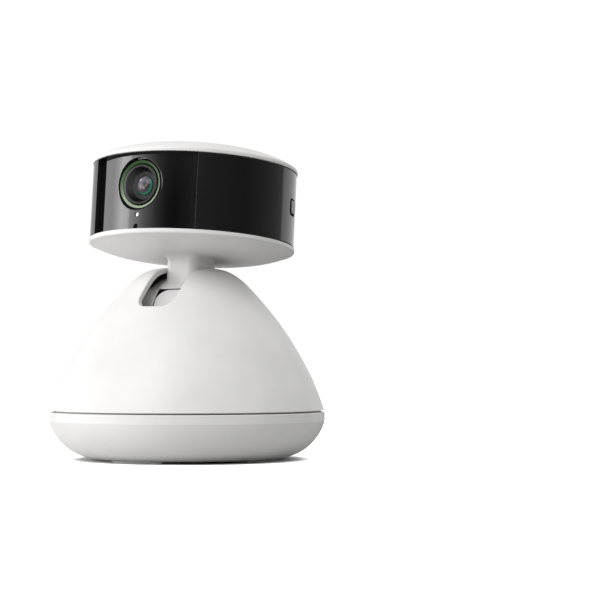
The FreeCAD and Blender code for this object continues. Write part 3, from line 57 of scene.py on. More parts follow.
# dish
BASE_R, BAND_Z0, BAND_Z1 = 52.7, 14.8, 18.2
DISH_FLOOR_Z, DISH_FLOOR_R, DISH_CORNER = 0.7, 36.5, 1.2
BOWL_BULGE = 3.3
BAND_EDGE_LOW, BAND_EDGE_TOP, RIM_EDGE = 0.25, 0.35, 0.3
RIM_WIDTH, RIM_DEPTH = 2, 6
INLET_W, INLET_H, INLET_Z, INLET_EDGE = 9.5, 3.7, 9.6, 0.2

# cone
CONE_R, CONE_Z0, CONE_TOP_Z = 52.6, 18.65, 73.2
CONE_SHAPE = [(0.9525, 0.129), (0.8707, 0.298), (0.7719, 0.468), (0.6521, 0.637), (0.5456, 0.763),
              (0.4677, 0.848), (0.3726, 0.932), (0.2738, 0.982), (0.152, 0.998)]
FOOT_EDGE = 0.35
FOOT_RINGS = (0.6, 1.8, 2.1, 1.95, 2.3, 2.8)     # where the mesh has a ring of points, in from its end
SLOT_X0, SLOT_X1, SLOT_FRONT_Z, SLOT_BACK_Y = -3.0, 11.3, 57.62, 14.6
SLOT_FRONT_ROUND, SLOT_BACK_ROUND = 3.6, 2.8
SLOT_EDGE, SLOT_SPACING = 0.45, 0.45
SPEAKER_SLOPE, SPEAKER_SET_IN = math.radians(27), 3.9
GRILLE_RINGS, GRILLE_STEP, GRILLE_HOLE_R, GRILLE_EDGE = 4, 2.6, 0.7, 0.12
GRILLE_REACH = 14.0      # longest way from the speaker to the cone's outside

# head
HEAD_R, LIP_R = 39.2, 39.5
BELLY_EDGE_Z, BELLY_EDGE_R, BELLY_RISE, BELLY_POWER = 31.7, 38.3, 4.2, 4
BELLY_CORNER = (39.14, 31.97)
HEAD_SCREW_X, HEAD_SCREW_Y, HEAD_SCREW_HOLE_R, HEAD_SCREW_EDGE = 15, 25.98, 2.5, 0.2
NECK_X0, NECK_X1, NECK_Y0, NECK_Y1, NECK_ROUND = -2.6, 10.9, -14.2, 1.9, 3.0
COLLAR_ROUND, COLLAR_FRONT = 1.2, 3.2    # hollow curve where the column runs into the underside
COLLAR_LIFT = 0.02       # off the solid's faces
RIM_Z0, RIM_Z1 = 32.6, 33.8
BAND_LOW_Z, BAND_HIGH_Z = 34.1, 62.1
BAND_EDGE = 0.2          # round on the band's upper and lower edges
BAND_ENDS = (0.1, 0.3)   # round on its two ends at the window
BAND_SET_IN = 1.6
CAP_Z0, CAP_Z1, CAP_RISE, CAP_POWER = 62.4, 63.8, 6.0, 4
CAP_EDGE_LOW, CAP_EDGE_HIGH = 0.3, 0.9
PANEL_R, PANEL_INNER_R, LEDGE_R = 37.1, 35.6, 35.3
PANEL_START, PANEL_END = math.radians(-36.9), math.radians(34.5)
GROOVE_DEPTH = 1.4
LINTEL_H = 0.22
LENS_Z, LENS_TURN, LENS_HOLE_R, LENS_HOLE_EDGE = 50.9, math.radians(-0.9), 9.75, 0.22
LIGHT_Z, MIC_Z = 39.5, 34.9
LIGHT_HOLE_R, MIC_HOLE_R, SMALL_EDGE = 0.9, 1.0, 0.08
BUTTON_ANGLE, BUTTON_Z, BUTTON_W, BUTTON_H, BUTTON_ROUND = math.radians(106.7), 48.4, 6.6, 5.8, 1.3
BUTTON_PROUD, BUTTON_EDGE, BUTTON_INSET, BUTTON_DEPTH = 0.4, 0.15, 0.35, 1.6

# dust cover under the slot, about the tilt axis, with angles from straight up to the front
COVER_R, COVER_START, COVER_END = 21.9, 48.7, 88.0
COVER_GAP, COVER_CORNER = 0.75, 5.0
COVER_ROWS, COVER_EDGE, COVER_SKIRT = 60, 0.15, 0.6
# The near-black sheet in the dust cover's gap is painted shade; these are its lift and the barrel's.
COVER_SHADE_SHEET_LIFT, COVER_BARREL_LIFT = 0.04, 0.2

# lens: (radius, way out from the window's face) along each turned profile, and the rounds of its corners
SURROUND = ([(9.88, -4.7), (9.88, -1.9), (9.6, -1.9), (9.6, -2.3), (9.3, -2.3), (9.3, -1.35),
             (8.92, -1.35), (8.92, -4.5), (7.62, -4.5)], [0, 0.05, 0.05, 0.1, 0.1, 0.1, 0, 0, 0])
TRIM = ([(8.9, -2.9), (8.9, -1.2), (7.95, -1.8), (7.95, -2.9)], [0, 0.12, 0.12, 0])
BARREL_OUTSIDE = ([(7.6, -22.7), (7.6, -1.4), (6.6, -1.4), (5.2, -3.9)], [0, 0.35, 0.3, 0.1])
BARREL_BAFFLES, BAFFLE_DEPTH, BAFFLE_WIDTH = 5, 0.12, 0.28
BARREL_BORE = ([-4.9, -6], 3.45)
BARREL_EDGES = (0.03, 0.05)
GLASS_R, GLASS_RISE, GLASS_OUT = 3.4, 1, -4.4
GLASS_BACK = ([(0, -5.8), (3.4, -5.8), (3.4, -4.4)], [0, 0.1, 0])
PIPE = ([(0.85, -6), (0.85, -1), (0, -0.9)], [0, 0.1, 0])

# ------------ light and camera
VIEW_ANGLE = math.radians(33.4)      # the viewer stands this far right of the front
VIEW_DISTANCE = 0.672
VIEW_HEIGHT = 0.0349
VIEW_SHIFT = 0.1135                  # the object stands below the picture's middle
YAW = math.radians(3.68)             # and left of it
FOCAL = 104.8

# Light from the studio's walls by the angle right of the viewer's direction, and from its ceiling likewise
WALL_LIGHT = [(-180, 0.75), (-146, 0.75), (-140, 1.1), (-112, 2.9), (-103, 4.8), (-95, 7.5), (-84, 7.6),
              (-81, 4.6), (-70, 3.2), (-60, 1.7), (-45, 0.5), (-33, 0.1), (-22, 0.03), (-8, 0.14), (2, 0.28),
              (30, 0.2), (60, 0.16), (100, 0.32), (116, 0.4), (120, 1.05), (180, 1.0)]
CEILING_LIGHT = [(-180, 0.7), (-120, 0.3), (-70, 0.3), (-20, 0.65), (40, 0.82), (90, 0.85), (140, 0.8),
                 (180, 0.7)]
WALL_TOP, CEILING_START = math.radians(14), math.radians(22)
BRIGHTEST = 8.0
BACKGROUND_WHITE = 1.05
KEY_AZIMUTH, KEY_DISTANCE, KEY_HEIGHT = -38, 0.9, 0.8
KEY_SIZE = (0.6, 0.6)
KEY_POWER = 5.5
FLOOR_SIZE = 3.0
FLOOR_WHITE = (0.95, 0.95, 0.95, 1)
FLOOR_SHADES = (0.57, 0.31)      # as it lights the object, on the viewer's left and right
FLOOR_SIDES = (-0.08, 0.14)      # from where to where the one turns into the other
FLOOR_NEAR = 1.35                # times the shades, close to the object
FLOOR_CLOSE = (0.06, 0.13)       # how far out that fades
FLOOR_GLOW = 0.06                # added where the camera sees it
FLOOR_CLEAR = (0.041, 0.05)      # the camera sees the plain shadow up to here


# ------------ mesh building
def unit(ways):
    return ways / np.linalg.norm(ways, axis=1)[:, None]


def lengths(points):
    """The way along a line of points up to each of them."""
    return np.concatenate([[0], np.cumsum(np.linalg.norm(np.diff(points, axis=0), axis=1))])


def circle(radius, count=180):
    angle = np.arange(count) * 2 * math.pi / count
    return np.stack([radius * np.cos(angle), radius * np.sin(angle)], 1)


def outwards(turn):
    """The level way out of the head at an angle right of its front."""
    return np.stack([np.sin(turn), -np.cos(turn)], -1)


class Shape:
    """Vertices with their true normals, and faces, in millimetres."""

    def __init__(self):
        self.points = []
        self.normals = []
        self.faces = []

    def add(self, points, normals):
        start = len(self.points)
        self.points.extend(np.asarray(points, float).reshape(-1, 3))
        self.normals.extend(np.asarray(normals, float).reshape(-1, 3))
        return start

    def grid(self, rows, normals, closed=False):
        """Quads between rows of points; closed joins each row's end to its start."""
        rows = np.asarray(rows, float)
        start = self.add(rows, normals)
        count, width = rows.shape[:2]
        for i in range(count - 1):
            for j in range(width if closed else width - 1):
                k = (j + 1) % width
                self.faces.append((start + i * width + j, start + i * width + k,
                                   start + (i + 1) * width + k, start + (i + 1) * width + j))

    def turned_faces(self, points, normals):
        """The faces without doubled corners, each turned to look the way its normals point."""
        faces = []
        for face in self.faces:
            ring = [i for n, i in enumerate(face) if np.abs(points[i] - points[face[n - 1]]).max() > 1e-7]
            if len(ring) < 3:
                continue
            p = points[ring]
            if np.dot(np.cross(p[2] - p[0], p[-1] - p[1]), normals[ring].sum(0)) < 0:
                ring.reverse()
            faces.append(ring)
        return faces

    def make(self, name, slot, body, replaced=(), look=None):
        """The finished piece; the points of the head's and the button's are in the head's own frame."""
        points = np.array(self.points)
        normals = np.array(self.normals)
        normals /= np.linalg.norm(normals, axis=1)[:, None] + 1e-12
        faces = self.turned_faces(points, normals)
        if body in ("head", "button"):
            c, s = math.cos(REST_TILT), math.sin(REST_TILT)
            lean = np.array([[1, 0, 0], [0, c, s], [0, -s, c]])
            points = points @ lean.T + np.array([0, 0, TILT_Z])
            normals = normals @ lean.T
        data = bpy.data.meshes.new(name)
        data.from_pydata(points * MM, [], faces)
        data.validate(clean_customdata=False)
        data.shade_smooth()
        if len(data.vertices) == len(normals):
            data.normals_split_custom_set_from_vertices(normals)
        piece = bpy.data.objects.new(name, data)
        bpy.context.scene.collection.objects.link(piece)
        data.materials.append(materials[look or slot])
        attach(piece, body)
        if replaced:
            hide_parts(*replaced)


def rounded(points, radii):
    """A profile (r, z) with its corners rounded: points, and normals on the right of the way along it."""
    points = [np.array(p, float) for p in points]
    steps = 6

    def side(a, b):
        d = (b - a) / (np.linalg.norm(b - a) + 1e-12)
        return np.array([d[1], -d[0]])
    out, normals = [points[0]], [side(*points[:2])]
    for i, p in list(enumerate(points))[1:-1]:
        before, after = points[i - 1] - p, points[i + 1] - p
        u, v = before / np.linalg.norm(before), after / np.linalg.norm(after)
        n0, n1 = side(points[i - 1], p), side(p, points[i + 1])
        if radii[i] <= 0:
            out += [p, p]
            normals += [n0, n1]
            continue
        half = math.acos(max(-1, min(1, float(np.dot(u, v))))) / 2
        if half > QUARTER - 0.01:
            out.append(p)
            normals.append(n0 + n1)
            continue
        reach = radii[i] / math.tan(half)
        middle = p + (u + v) / np.linalg.norm(u + v) * radii[i] / math.sin(half)
        outward = 1 if np.dot(p + u * reach - middle, n0) > 0 else -1
        a0, a1 = p + u * reach - middle, p + v * reach - middle
        whole = math.acos(max(-1, min(1, float(np.dot(a0, a1)) / radii[i] ** 2)))
        for k in range(steps + 1):
            t = k / steps
            way = (math.sin((1 - t) * whole) * a0 + math.sin(t * whole) * a1) / math.sin(whole)
            out.append(middle + way)
            normals.append(outward * way / radii[i])
    return np.array(out + [points[-1]]), np.array(normals + [side(*points[-2:])])


def spline(points, end_tangent):
    """A smooth curve through the points: points and normals on the right of the way along it."""
    p = np.array(points, float)
    t = lengths(p)
    n = len(p)
    steps = 8
    a, rhs = np.zeros((n, n)), np.zeros((n, 2))
    for i in range(1, n - 1):
        h0, h1 = t[i] - t[i - 1], t[i + 1] - t[i]
        a[i, i - 1:i + 2] = 1 / h0, 2 / h0 + 2 / h1, 1 / h1
        rhs[i] = 3 * ((p[i] - p[i - 1]) / h0 ** 2 + (p[i + 1] - p[i]) / h1 ** 2)
    a[0, :2] = 2, 1
    rhs[0] = 3 * (p[1] - p[0]) / (t[1] - t[0])
    a[-1, -1] = 1
    rhs[-1] = end_tangent
    m = np.linalg.solve(a, rhs)
    out, normals = [], []
    for i in range(n - 1):
        h = t[i + 1] - t[i]
        for k in range(steps + (i == n - 2)):
            s = k / steps
            out.append((2 * s ** 3 - 3 * s ** 2 + 1) * p[i] + (s ** 3 - 2 * s ** 2 + s) * h * m[i]
                       + (3 * s ** 2 - 2 * s ** 3) * p[i + 1] + (s ** 3 - s ** 2) * h * m[i + 1])
            d = ((6 * s ** 2 - 6 * s) * p[i] / h + (3 * s ** 2 - 4 * s + 1) * m[i]
                 + (6 * s - 6 * s ** 2) * p[i + 1] / h + (3 * s ** 2 - 2 * s) * m[i + 1])
            normals.append((d[1], -d[0]))
    return np.array(out), unit(np.array(normals))


def joined(*profiles):
    return tuple(np.vstack(parts) for parts in zip(*profiles))


def spun(profile, segments=192, place=None):
    """A profile (r, z) turned about an axis; place takes points about that axis into the piece's frame."""
    points, normals = profile
    angle = np.linspace(0, 2 * math.pi, segments, endpoint=False)
    c, s = np.cos(angle), np.sin(angle)

    def turned(values):
        out = values[:, :1]
        return np.stack([out * c, out * s, np.repeat(values[:, 1:], segments, axis=1)], axis=-1)
    rows, ways = turned(points), turned(normals)
    if place is not None:
        rows, ways = place(rows, 1), place(ways, 0)
    shape = Shape()
    shape.grid(rows, ways, closed=True)
    return shape


class Turned:
    """A turned surface laid out flat as a disc whose radius is the way along the profile from the axis."""

    def __init__(self, profile):
        keep = np.diff(lengths(profile[0]), prepend=-1) > 1e-6
        self.points, self.normals = (part[keep] for part in profile)
        self.way = lengths(self.points)

    def lay(self, uv):
        """Points and normals at places of the flat disc."""
        uv = np.asarray(uv, float)
        s = np.hypot(*uv.T)
        out = np.where(s[:, None] > 1e-9, uv / np.maximum(s, 1e-9)[:, None], (1, 0))
        found = []
        for part in (self.points, self.normals):
            r, z = (np.interp(s, self.way, row) for row in part.T)
            found.append(np.column_stack([out * r[:, None], z]))
        return found

    def flat(self, points):
        """The disc's places of points on the surface, which rises in one direction along the profile."""
        points = np.asarray(points, float)
        z = points[:, 2]
        r = np.hypot(points[:, 0], points[:, 1])
        distance = np.hypot(r[:, None] - self.points[:, 0], z[:, None] - self.points[:, 1])
        i = np.clip(distance.argmin(1), 1, len(self.way) - 2)
        best = np.full(len(r), np.inf)
        s = np.zeros(len(r))
        for k in (i - 1, i):
            a = self.points[k]
            d = self.points[k + 1] - a
            w = np.clip(((r - a[:, 0]) * d[:, 0] + (z - a[:, 1]) * d[:, 1]) / (d ** 2).sum(1), 0, 1)
            gap = np.hypot(r - a[:, 0] - w * d[:, 0], z - a[:, 1] - w * d[:, 1])
            s = np.where(gap < best, self.way[k] + w * (self.way[k + 1] - self.way[k]), s)
            best = np.minimum(gap, best)
        return points[:, :2] / np.maximum(r, 1e-9)[:, None] * s[:, None]


class Wrapped:
    """An upright wall of one radius laid out flat: the way round it, and its height."""

    def __init__(self, radius):
        self.radius = radius

    def lay(self, uv):
        uv = np.asarray(uv, float)
        out = outwards(uv[:, 0] / self.radius)
        return np.column_stack([out * self.radius, uv[:, 1]]), np.column_stack([out, np.zeros(len(uv))])

    def flat(self, points):
        return np.stack([np.arctan2(points[:, 0], -points[:, 1]) * self.radius, points[:, 2]], 1)


class Followed:
    """An upright wall along a line on plan laid out flat: the way along it, and its height.
    first is the line's first point on the head's round wall, and start its angle."""

    def __init__(self, plan, ways, first, start):
        self.plan, self.ways, self.way = plan, ways, lengths(plan)
        self.first, self.start = first, start

    def lay(self, uv):
        uv = np.asarray(uv, float)
        p, n = ([np.interp(uv[:, 0], self.way, row) for row in part.T] for part in (self.plan, self.ways))
        return np.stack([*p, uv[:, 1]], 1), np.stack([*n, 0 * uv[:, 0]], 1)

    def flat(self, points):
        turned = np.arctan2(points[:, 0], -points[:, 1]) % (2 * math.pi)
        return np.stack([self.way[self.first] + (turned - self.start) * HEAD_R, points[:, 2]], 1)


def inside(points, loop):
    x, y = points[:, 0], points[:, 1]
    found = np.zeros(len(points), bool)
    for (x0, y0), (x1, y1) in zip(loop, np.roll(loop, -1, axis=0)):
        if y0 == y1:
            continue
        crosses = (y0 > y) != (y1 > y)
        found ^= crosses & (x < (x1 - x0) * (y - y0) / (y1 - y0) + x0)
    return found


def near(points, loop, distance):
    gap = np.full(len(points), np.inf)
    for q in loop:
        gap = np.minimum(gap, np.hypot(*(points - q).T))
    return gap < distance


def hole_wall(surface, corners, down, edge_round):
    """The rounded edge of a hole through a surface and its wall: rows of points, and their normals."""
    corners, n = surface.lay(surface.flat(corners))
    tangent = unit(np.roll(corners, -1, axis=0) - np.roll(corners, 1, axis=0))
    away = unit(np.cross(tangent, n))
    if (away * (corners - corners.mean(0))).sum() < 0:
        away = -away
    down = np.broadcast_to(np.asarray(down, float), corners.shape)
    down = unit(down - (down * tangent).sum(1)[:, None] * tangent)
    half = np.arccos(np.clip((away * down).sum(1), -1, 1)) / 2
    reach = (edge_round / np.tan(half))[:, None]
    middle = corners + unit(away + down) * (edge_round / np.sin(half))[:, None]
    a0, a1 = corners + away * reach - middle, corners + down * reach - middle
    ways = [unit(a0 * (1 - k / 5) + a1 * (k / 5)) for k in range(6)]
    rows = [middle + way * edge_round for way in ways]
    depth = (HOLE_DEPTH / np.maximum(0.25, -(down * n).sum(1)))[:, None]
    return rows + [corners + down * depth], ways + [ways[-1]]


def skin(surface, edge, inner, holes, spacing, shape=None, trim=None):
    """A surface with holes. A hole is (points on the surface, way down its wall, round of its edge).
    trim, if given, gets the first hole's wall as a shape of its own."""
    shape = shape or Shape()
    strips = [hole_wall(surface, *hole) for hole in holes]
    loops = [surface.flat(rows[0]) for rows, _ in strips]
    lines, start = [], 0
    for ring in [edge] + loops:
        lines += [(start + i, start + (i + 1) % len(ring)) for i in range(len(ring))]
        start += len(ring)
    inner = np.asarray(inner, float)
    for ring in loops:
        inner = inner[~inside(inner, ring) & ~near(inner, ring, spacing * 0.6)]
    everything = np.vstack([np.asarray(edge)] + loops + [inner])
    result = delaunay_2d_cdt([Vector(p) for p in everything], lines, [], 1, 1e-7)
    places = np.array([tuple(p) for p in result[0]])
    faces = np.array([f for f in result[2] if len(f) == 3])
    middles = places[faces].mean(1)
    keep = np.ones(len(faces), bool)
    for ring in loops:
        keep &= ~inside(middles, ring)
    top = shape.add(*surface.lay(places))
    shape.faces += [tuple(top + i for i in f) for f in faces[keep]]
    for index, strip in enumerate(strips):
        (trim if trim and index == 0 else shape).grid(*strip, closed=True)
    return shape


def disc_points(radius, spacing):
    """Places on a disc in even rings."""
    points = [(0.0, 0.0)]
    for ring in range(1, int(radius / spacing)):
        r = ring * spacing
        count = max(8, min(180, int(round(2 * math.pi * r / (spacing * 1.6)))))
        angle = np.arange(count) * 2 * math.pi / count + (ring % 2) * math.pi / count
        points += list(zip(r * np.cos(angle), r * np.sin(angle)))
    return np.array(points)


def evenly(points, spacing):
    """A closed line of points set out again at an even spacing."""
    closed = np.vstack([points, points[:1]])
    way = lengths(closed)
    count = max(12, int(way[-1] / spacing))
    at = np.arange(count) * way[-1] / count
    return np.stack([np.interp(at, way, closed[:, k]) for k in range(closed.shape[1])], 1)


# ------------ stage
def stand(turn, distance, height):
    """A place round the object, at an angle right of its front."""
    return distance * math.sin(turn), -distance * math.cos(turn), height


def make_camera():
    data = bpy.data.cameras.new("camera")
    data.lens = FOCAL
    data.sensor_width = 36
    data.shift_y = VIEW_SHIFT
    data.clip_start = 0.01
    camera = bpy.data.objects.new("camera", data)
    camera.location = stand(VIEW_ANGLE, VIEW_DISTANCE, VIEW_HEIGHT)
    camera.rotation_euler = (QUARTER, 0, VIEW_ANGLE - YAW)
    bpy.context.scene.collection.objects.link(camera)
    bpy.context.scene.camera = camera


def add_node(tree, kind, *values, operation=None):
    """A node with its inputs in order, each a socket, a number or a colour: its first output."""
    node = tree.nodes.new("ShaderNode" + kind)
    if operation:
        node.operation = operation
    for socket, value in zip(node.inputs, values):
        if isinstance(value, bpy.types.NodeSocket):
            tree.links.new(value, socket)
        else:
            socket.default_value = value
    return node.outputs[0]


def math_node(tree, operation, *values):
    return add_node(tree, "Math", *values, operation=operation)


def map_range(tree, value, ends, results=(0, 1), interpolation="SMOOTHSTEP"):
    node = tree.nodes.new("ShaderNodeMapRange")
    node.interpolation_type = interpolation
    for name, number in zip(("From Min", "From Max", "To Min", "To Max"), (*ends, *results)):
        node.inputs[name].default_value = number
    tree.links.new(value, node.inputs["Value"])
    return node.outputs["Result"]


def coordinates(tree, kind):
    """The coordinates of this kind as one socket, and the node with their three axes."""
    place = tree.nodes.new("ShaderNodeTexCoord").outputs[kind]
    axes = tree.nodes.new("ShaderNodeSeparateXYZ")
    tree.links.new(place, axes.inputs[0])
    return place, axes.outputs


def camera_ray(tree):
    return tree.nodes.new("ShaderNodeLightPath").outputs["Is Camera Ray"]


def light_ramp(tree, turn, stops):
    """A ramp of brightness, in shares of the brightest, over the angle round the studio."""
    ramp = tree.nodes.new("ShaderNodeValToRGB")
    elements = ramp.color_ramp.elements
    while len(elements) < len(stops):
        elements.new(0.5)
    for element, (angle, light) in zip(elements, stops):
        element.position = (angle + 180) / 360
        share = light / BRIGHTEST
        element.color = (share, share, share, 1)
    tree.links.new(turn, ramp.inputs["Fac"])
    return ramp.outputs["Color"]


def make_key():
    """A large softbox high on the left, in front."""
    data = bpy.data.lights.new("key", "AREA")
    data.shape = "RECTANGLE"
    data.size, data.size_y = KEY_SIZE
    data.energy = KEY_POWER
    key = bpy.data.objects.new("key", data)
    key.location = stand(VIEW_ANGLE + math.radians(KEY_AZIMUTH), KEY_DISTANCE, KEY_HEIGHT)
    key.rotation_euler = (Vector((0, 0, TILT_Z * MM)) - key.location).to_track_quat("-Z", "Y").to_euler()
    bpy.context.scene.collection.objects.link(key)


def make_world():
    """Softboxes and a white wall behind as the surroundings, and plain white where the camera sees them."""
    world = bpy.data.worlds.new("studio")
    bpy.context.scene.world = world
    world.use_nodes = True
    tree = world.node_tree
    tree.nodes.clear()
    _, axes = coordinates(tree, "Generated")
    turn = math_node(tree, "ARCTAN2", axes["X"], math_node(tree, "MULTIPLY", axes["Y"], -1.0))
    turn = math_node(tree, "WRAP", math_node(tree, "SUBTRACT", turn, VIEW_ANGLE), math.pi, -math.pi)
    share = math_node(tree, "MULTIPLY_ADD", turn, 0.5 / math.pi, 0.5)
    height = map_range(tree, axes["Z"], (math.sin(WALL_TOP), math.sin(CEILING_START)))
    light = add_node(tree, "MixRGB", height, light_ramp(tree, share, WALL_LIGHT),
                     light_ramp(tree, share, CEILING_LIGHT))
    studio = add_node(tree, "Background", light, BRIGHTEST)
    white = add_node(tree, "Background", (1, 1, 1, 1), BACKGROUND_WHITE)
    out = tree.nodes.new("ShaderNodeOutputWorld")
    tree.links.new(add_node(tree, "MixShader", camera_ray(tree), studio, white), out.inputs[0])
    bpy.context.scene.view_settings.view_transform = "Standard"


def make_floor():
    """A floor that lights the object in its own shade, and that the camera sees as white with a shadow."""
    s = FLOOR_SIZE
    data = bpy.data.meshes.new("floor")
    data.from_pydata([(-s, -s, 0), (s, -s, 0), (s, s, 0), (-s, s, 0)], [], [(0, 1, 2, 3)])
    floor = bpy.data.objects.new("floor", data)
    bpy.context.scene.collection.objects.link(floor)
    material = bpy.data.materials.new("floor_white")
    material.use_nodes = True
    tree = material.node_tree
    shader = tree.nodes["Principled BSDF"]
    place, axes = coordinates(tree, "Object")
    right = math_node(tree, "ADD", math_node(tree, "MULTIPLY", axes["X"], math.cos(VIEW_ANGLE)),
                      math_node(tree, "MULTIPLY", axes["Y"], math.sin(VIEW_ANGLE)))
    reach = tree.nodes.new("ShaderNodeVectorMath")
    reach.operation = "LENGTH"
    tree.links.new(place, reach.inputs[0])
    reach = reach.outputs["Value"]
    shade = math_node(tree, "MULTIPLY", map_range(tree, right, FLOOR_SIDES, FLOOR_SHADES),
                      map_range(tree, reach, FLOOR_CLOSE, (FLOOR_NEAR, 1)))
    tree.links.new(shade, shader.inputs["Base Color"])
    shader.inputs["Roughness"].default_value = 1
    shader.inputs["Specular IOR Level"].default_value = 0
    plain = add_node(tree, "BsdfDiffuse", FLOOR_WHITE)
    thrice = add_node(tree, "AddShader", plain, add_node(tree, "AddShader", plain, plain))
    bright = add_node(tree, "AddShader", thrice, add_node(tree, "Emission", (1, 1, 1, 1), FLOOR_GLOW))
    seen = add_node(tree, "MixShader", map_range(tree, reach, FLOOR_CLEAR), plain, bright)
    pick = add_node(tree, "MixShader", camera_ray(tree), shader.outputs[0], seen)
    tree.links.new(pick, tree.nodes["Material Output"].inputs[0])
    floor.data.materials.append(material)


# ------------ materials
def noise(tree, place, scale, detail):
    node = tree.nodes.new("ShaderNodeTexNoise")
    node.inputs["Scale"].default_value = scale
    node.inputs["Detail"].default_value = detail
    tree.links.new(place, node.inputs["Vector"])
    return node.outputs["Fac"]


def principled(material):
    return material.node_tree.nodes["Principled BSDF"].inputs


def plastic(name, color, roughness, specular=0.5, grain=0.0, grain_size=0.25, tint=0.03):
    """Moulded plastic: a fine spark-eroded grain, a slight mottle in colour and in gloss."""
    material = bpy.data.materials.new(name)
    material.use_nodes = True
    tree = material.node_tree
    shader = principled(material)
    shader["Specular IOR Level"].default_value = specular
    place = tree.nodes.new("ShaderNodeTexCoord").outputs["Object"]
    cloud = noise(tree, place, 60, 3)
    shades = tree.nodes.new("ShaderNodeValToRGB")
    for element, position, share in zip(shades.color_ramp.elements, (0.3, 0.7), (1 - tint, 1 + tint)):
        element.color = (*[min(1, c * share) for c in color], 1)
        element.position = position
    tree.links.new(cloud, shades.inputs["Fac"])
    tree.links.new(shades.outputs["Color"], shader["Base Color"])
    tree.links.new(map_range(tree, cloud, (0, 1), (roughness * 0.94, roughness * 1.06), "LINEAR"),
                   shader["Roughness"])
    if grain:
        bump = tree.nodes.new("ShaderNodeBump")
        bump.inputs["Strength"].default_value = grain
        bump.inputs["Distance"].default_value = 0.00002
        tree.links.new(noise(tree, place, 1000 / grain_size, 2), bump.inputs["Height"])
        tree.links.new(bump.outputs["Normal"], shader["Normal"])
    return material


def metal(name, color, roughness):
    material = plastic(name, color, roughness, grain=0.1, grain_size=0.3)
    principled(material)["Metallic"].default_value = 1
    return material


def spot(tree, axes, place, radius, soft, shade, base):
    """A soft round spot of one shade on a base."""
    across, up = (math_node(tree, "SUBTRACT", axis, at) for axis, at in zip(axes, place))
    far = math_node(tree, "SQRT", math_node(tree, "ADD", math_node(tree, "MULTIPLY", across, across),
                                            math_node(tree, "MULTIPLY", up, up)))
    return add_node(tree, "MixRGB", map_range(tree, far, (radius + soft, radius - soft)), base, (*shade, 1))


def spotted(name, base, spots, roughness, specular):
    """Plastic or glass with painted light and shade over its face: (place, radius, soft edge, shade) of each
    spot of painted highlight, reflection or shade, across and up the face, which looks forwards, from -1 to
    1."""
    material = plastic(name, (0.1, 0.1, 0.1), roughness, specular)
    tree = material.node_tree
    _, outputs = coordinates(tree, "Generated")
    axes = [math_node(tree, "MULTIPLY_ADD", outputs[k], 2.0, -1.0) for k in "XZ"]
    base = (*base, 1)
    for place, radius, soft, shade in spots:
        base = spot(tree, axes, place, radius, soft, shade, base)
    tree.links.new(base, principled(material)["Base Color"])
    return material


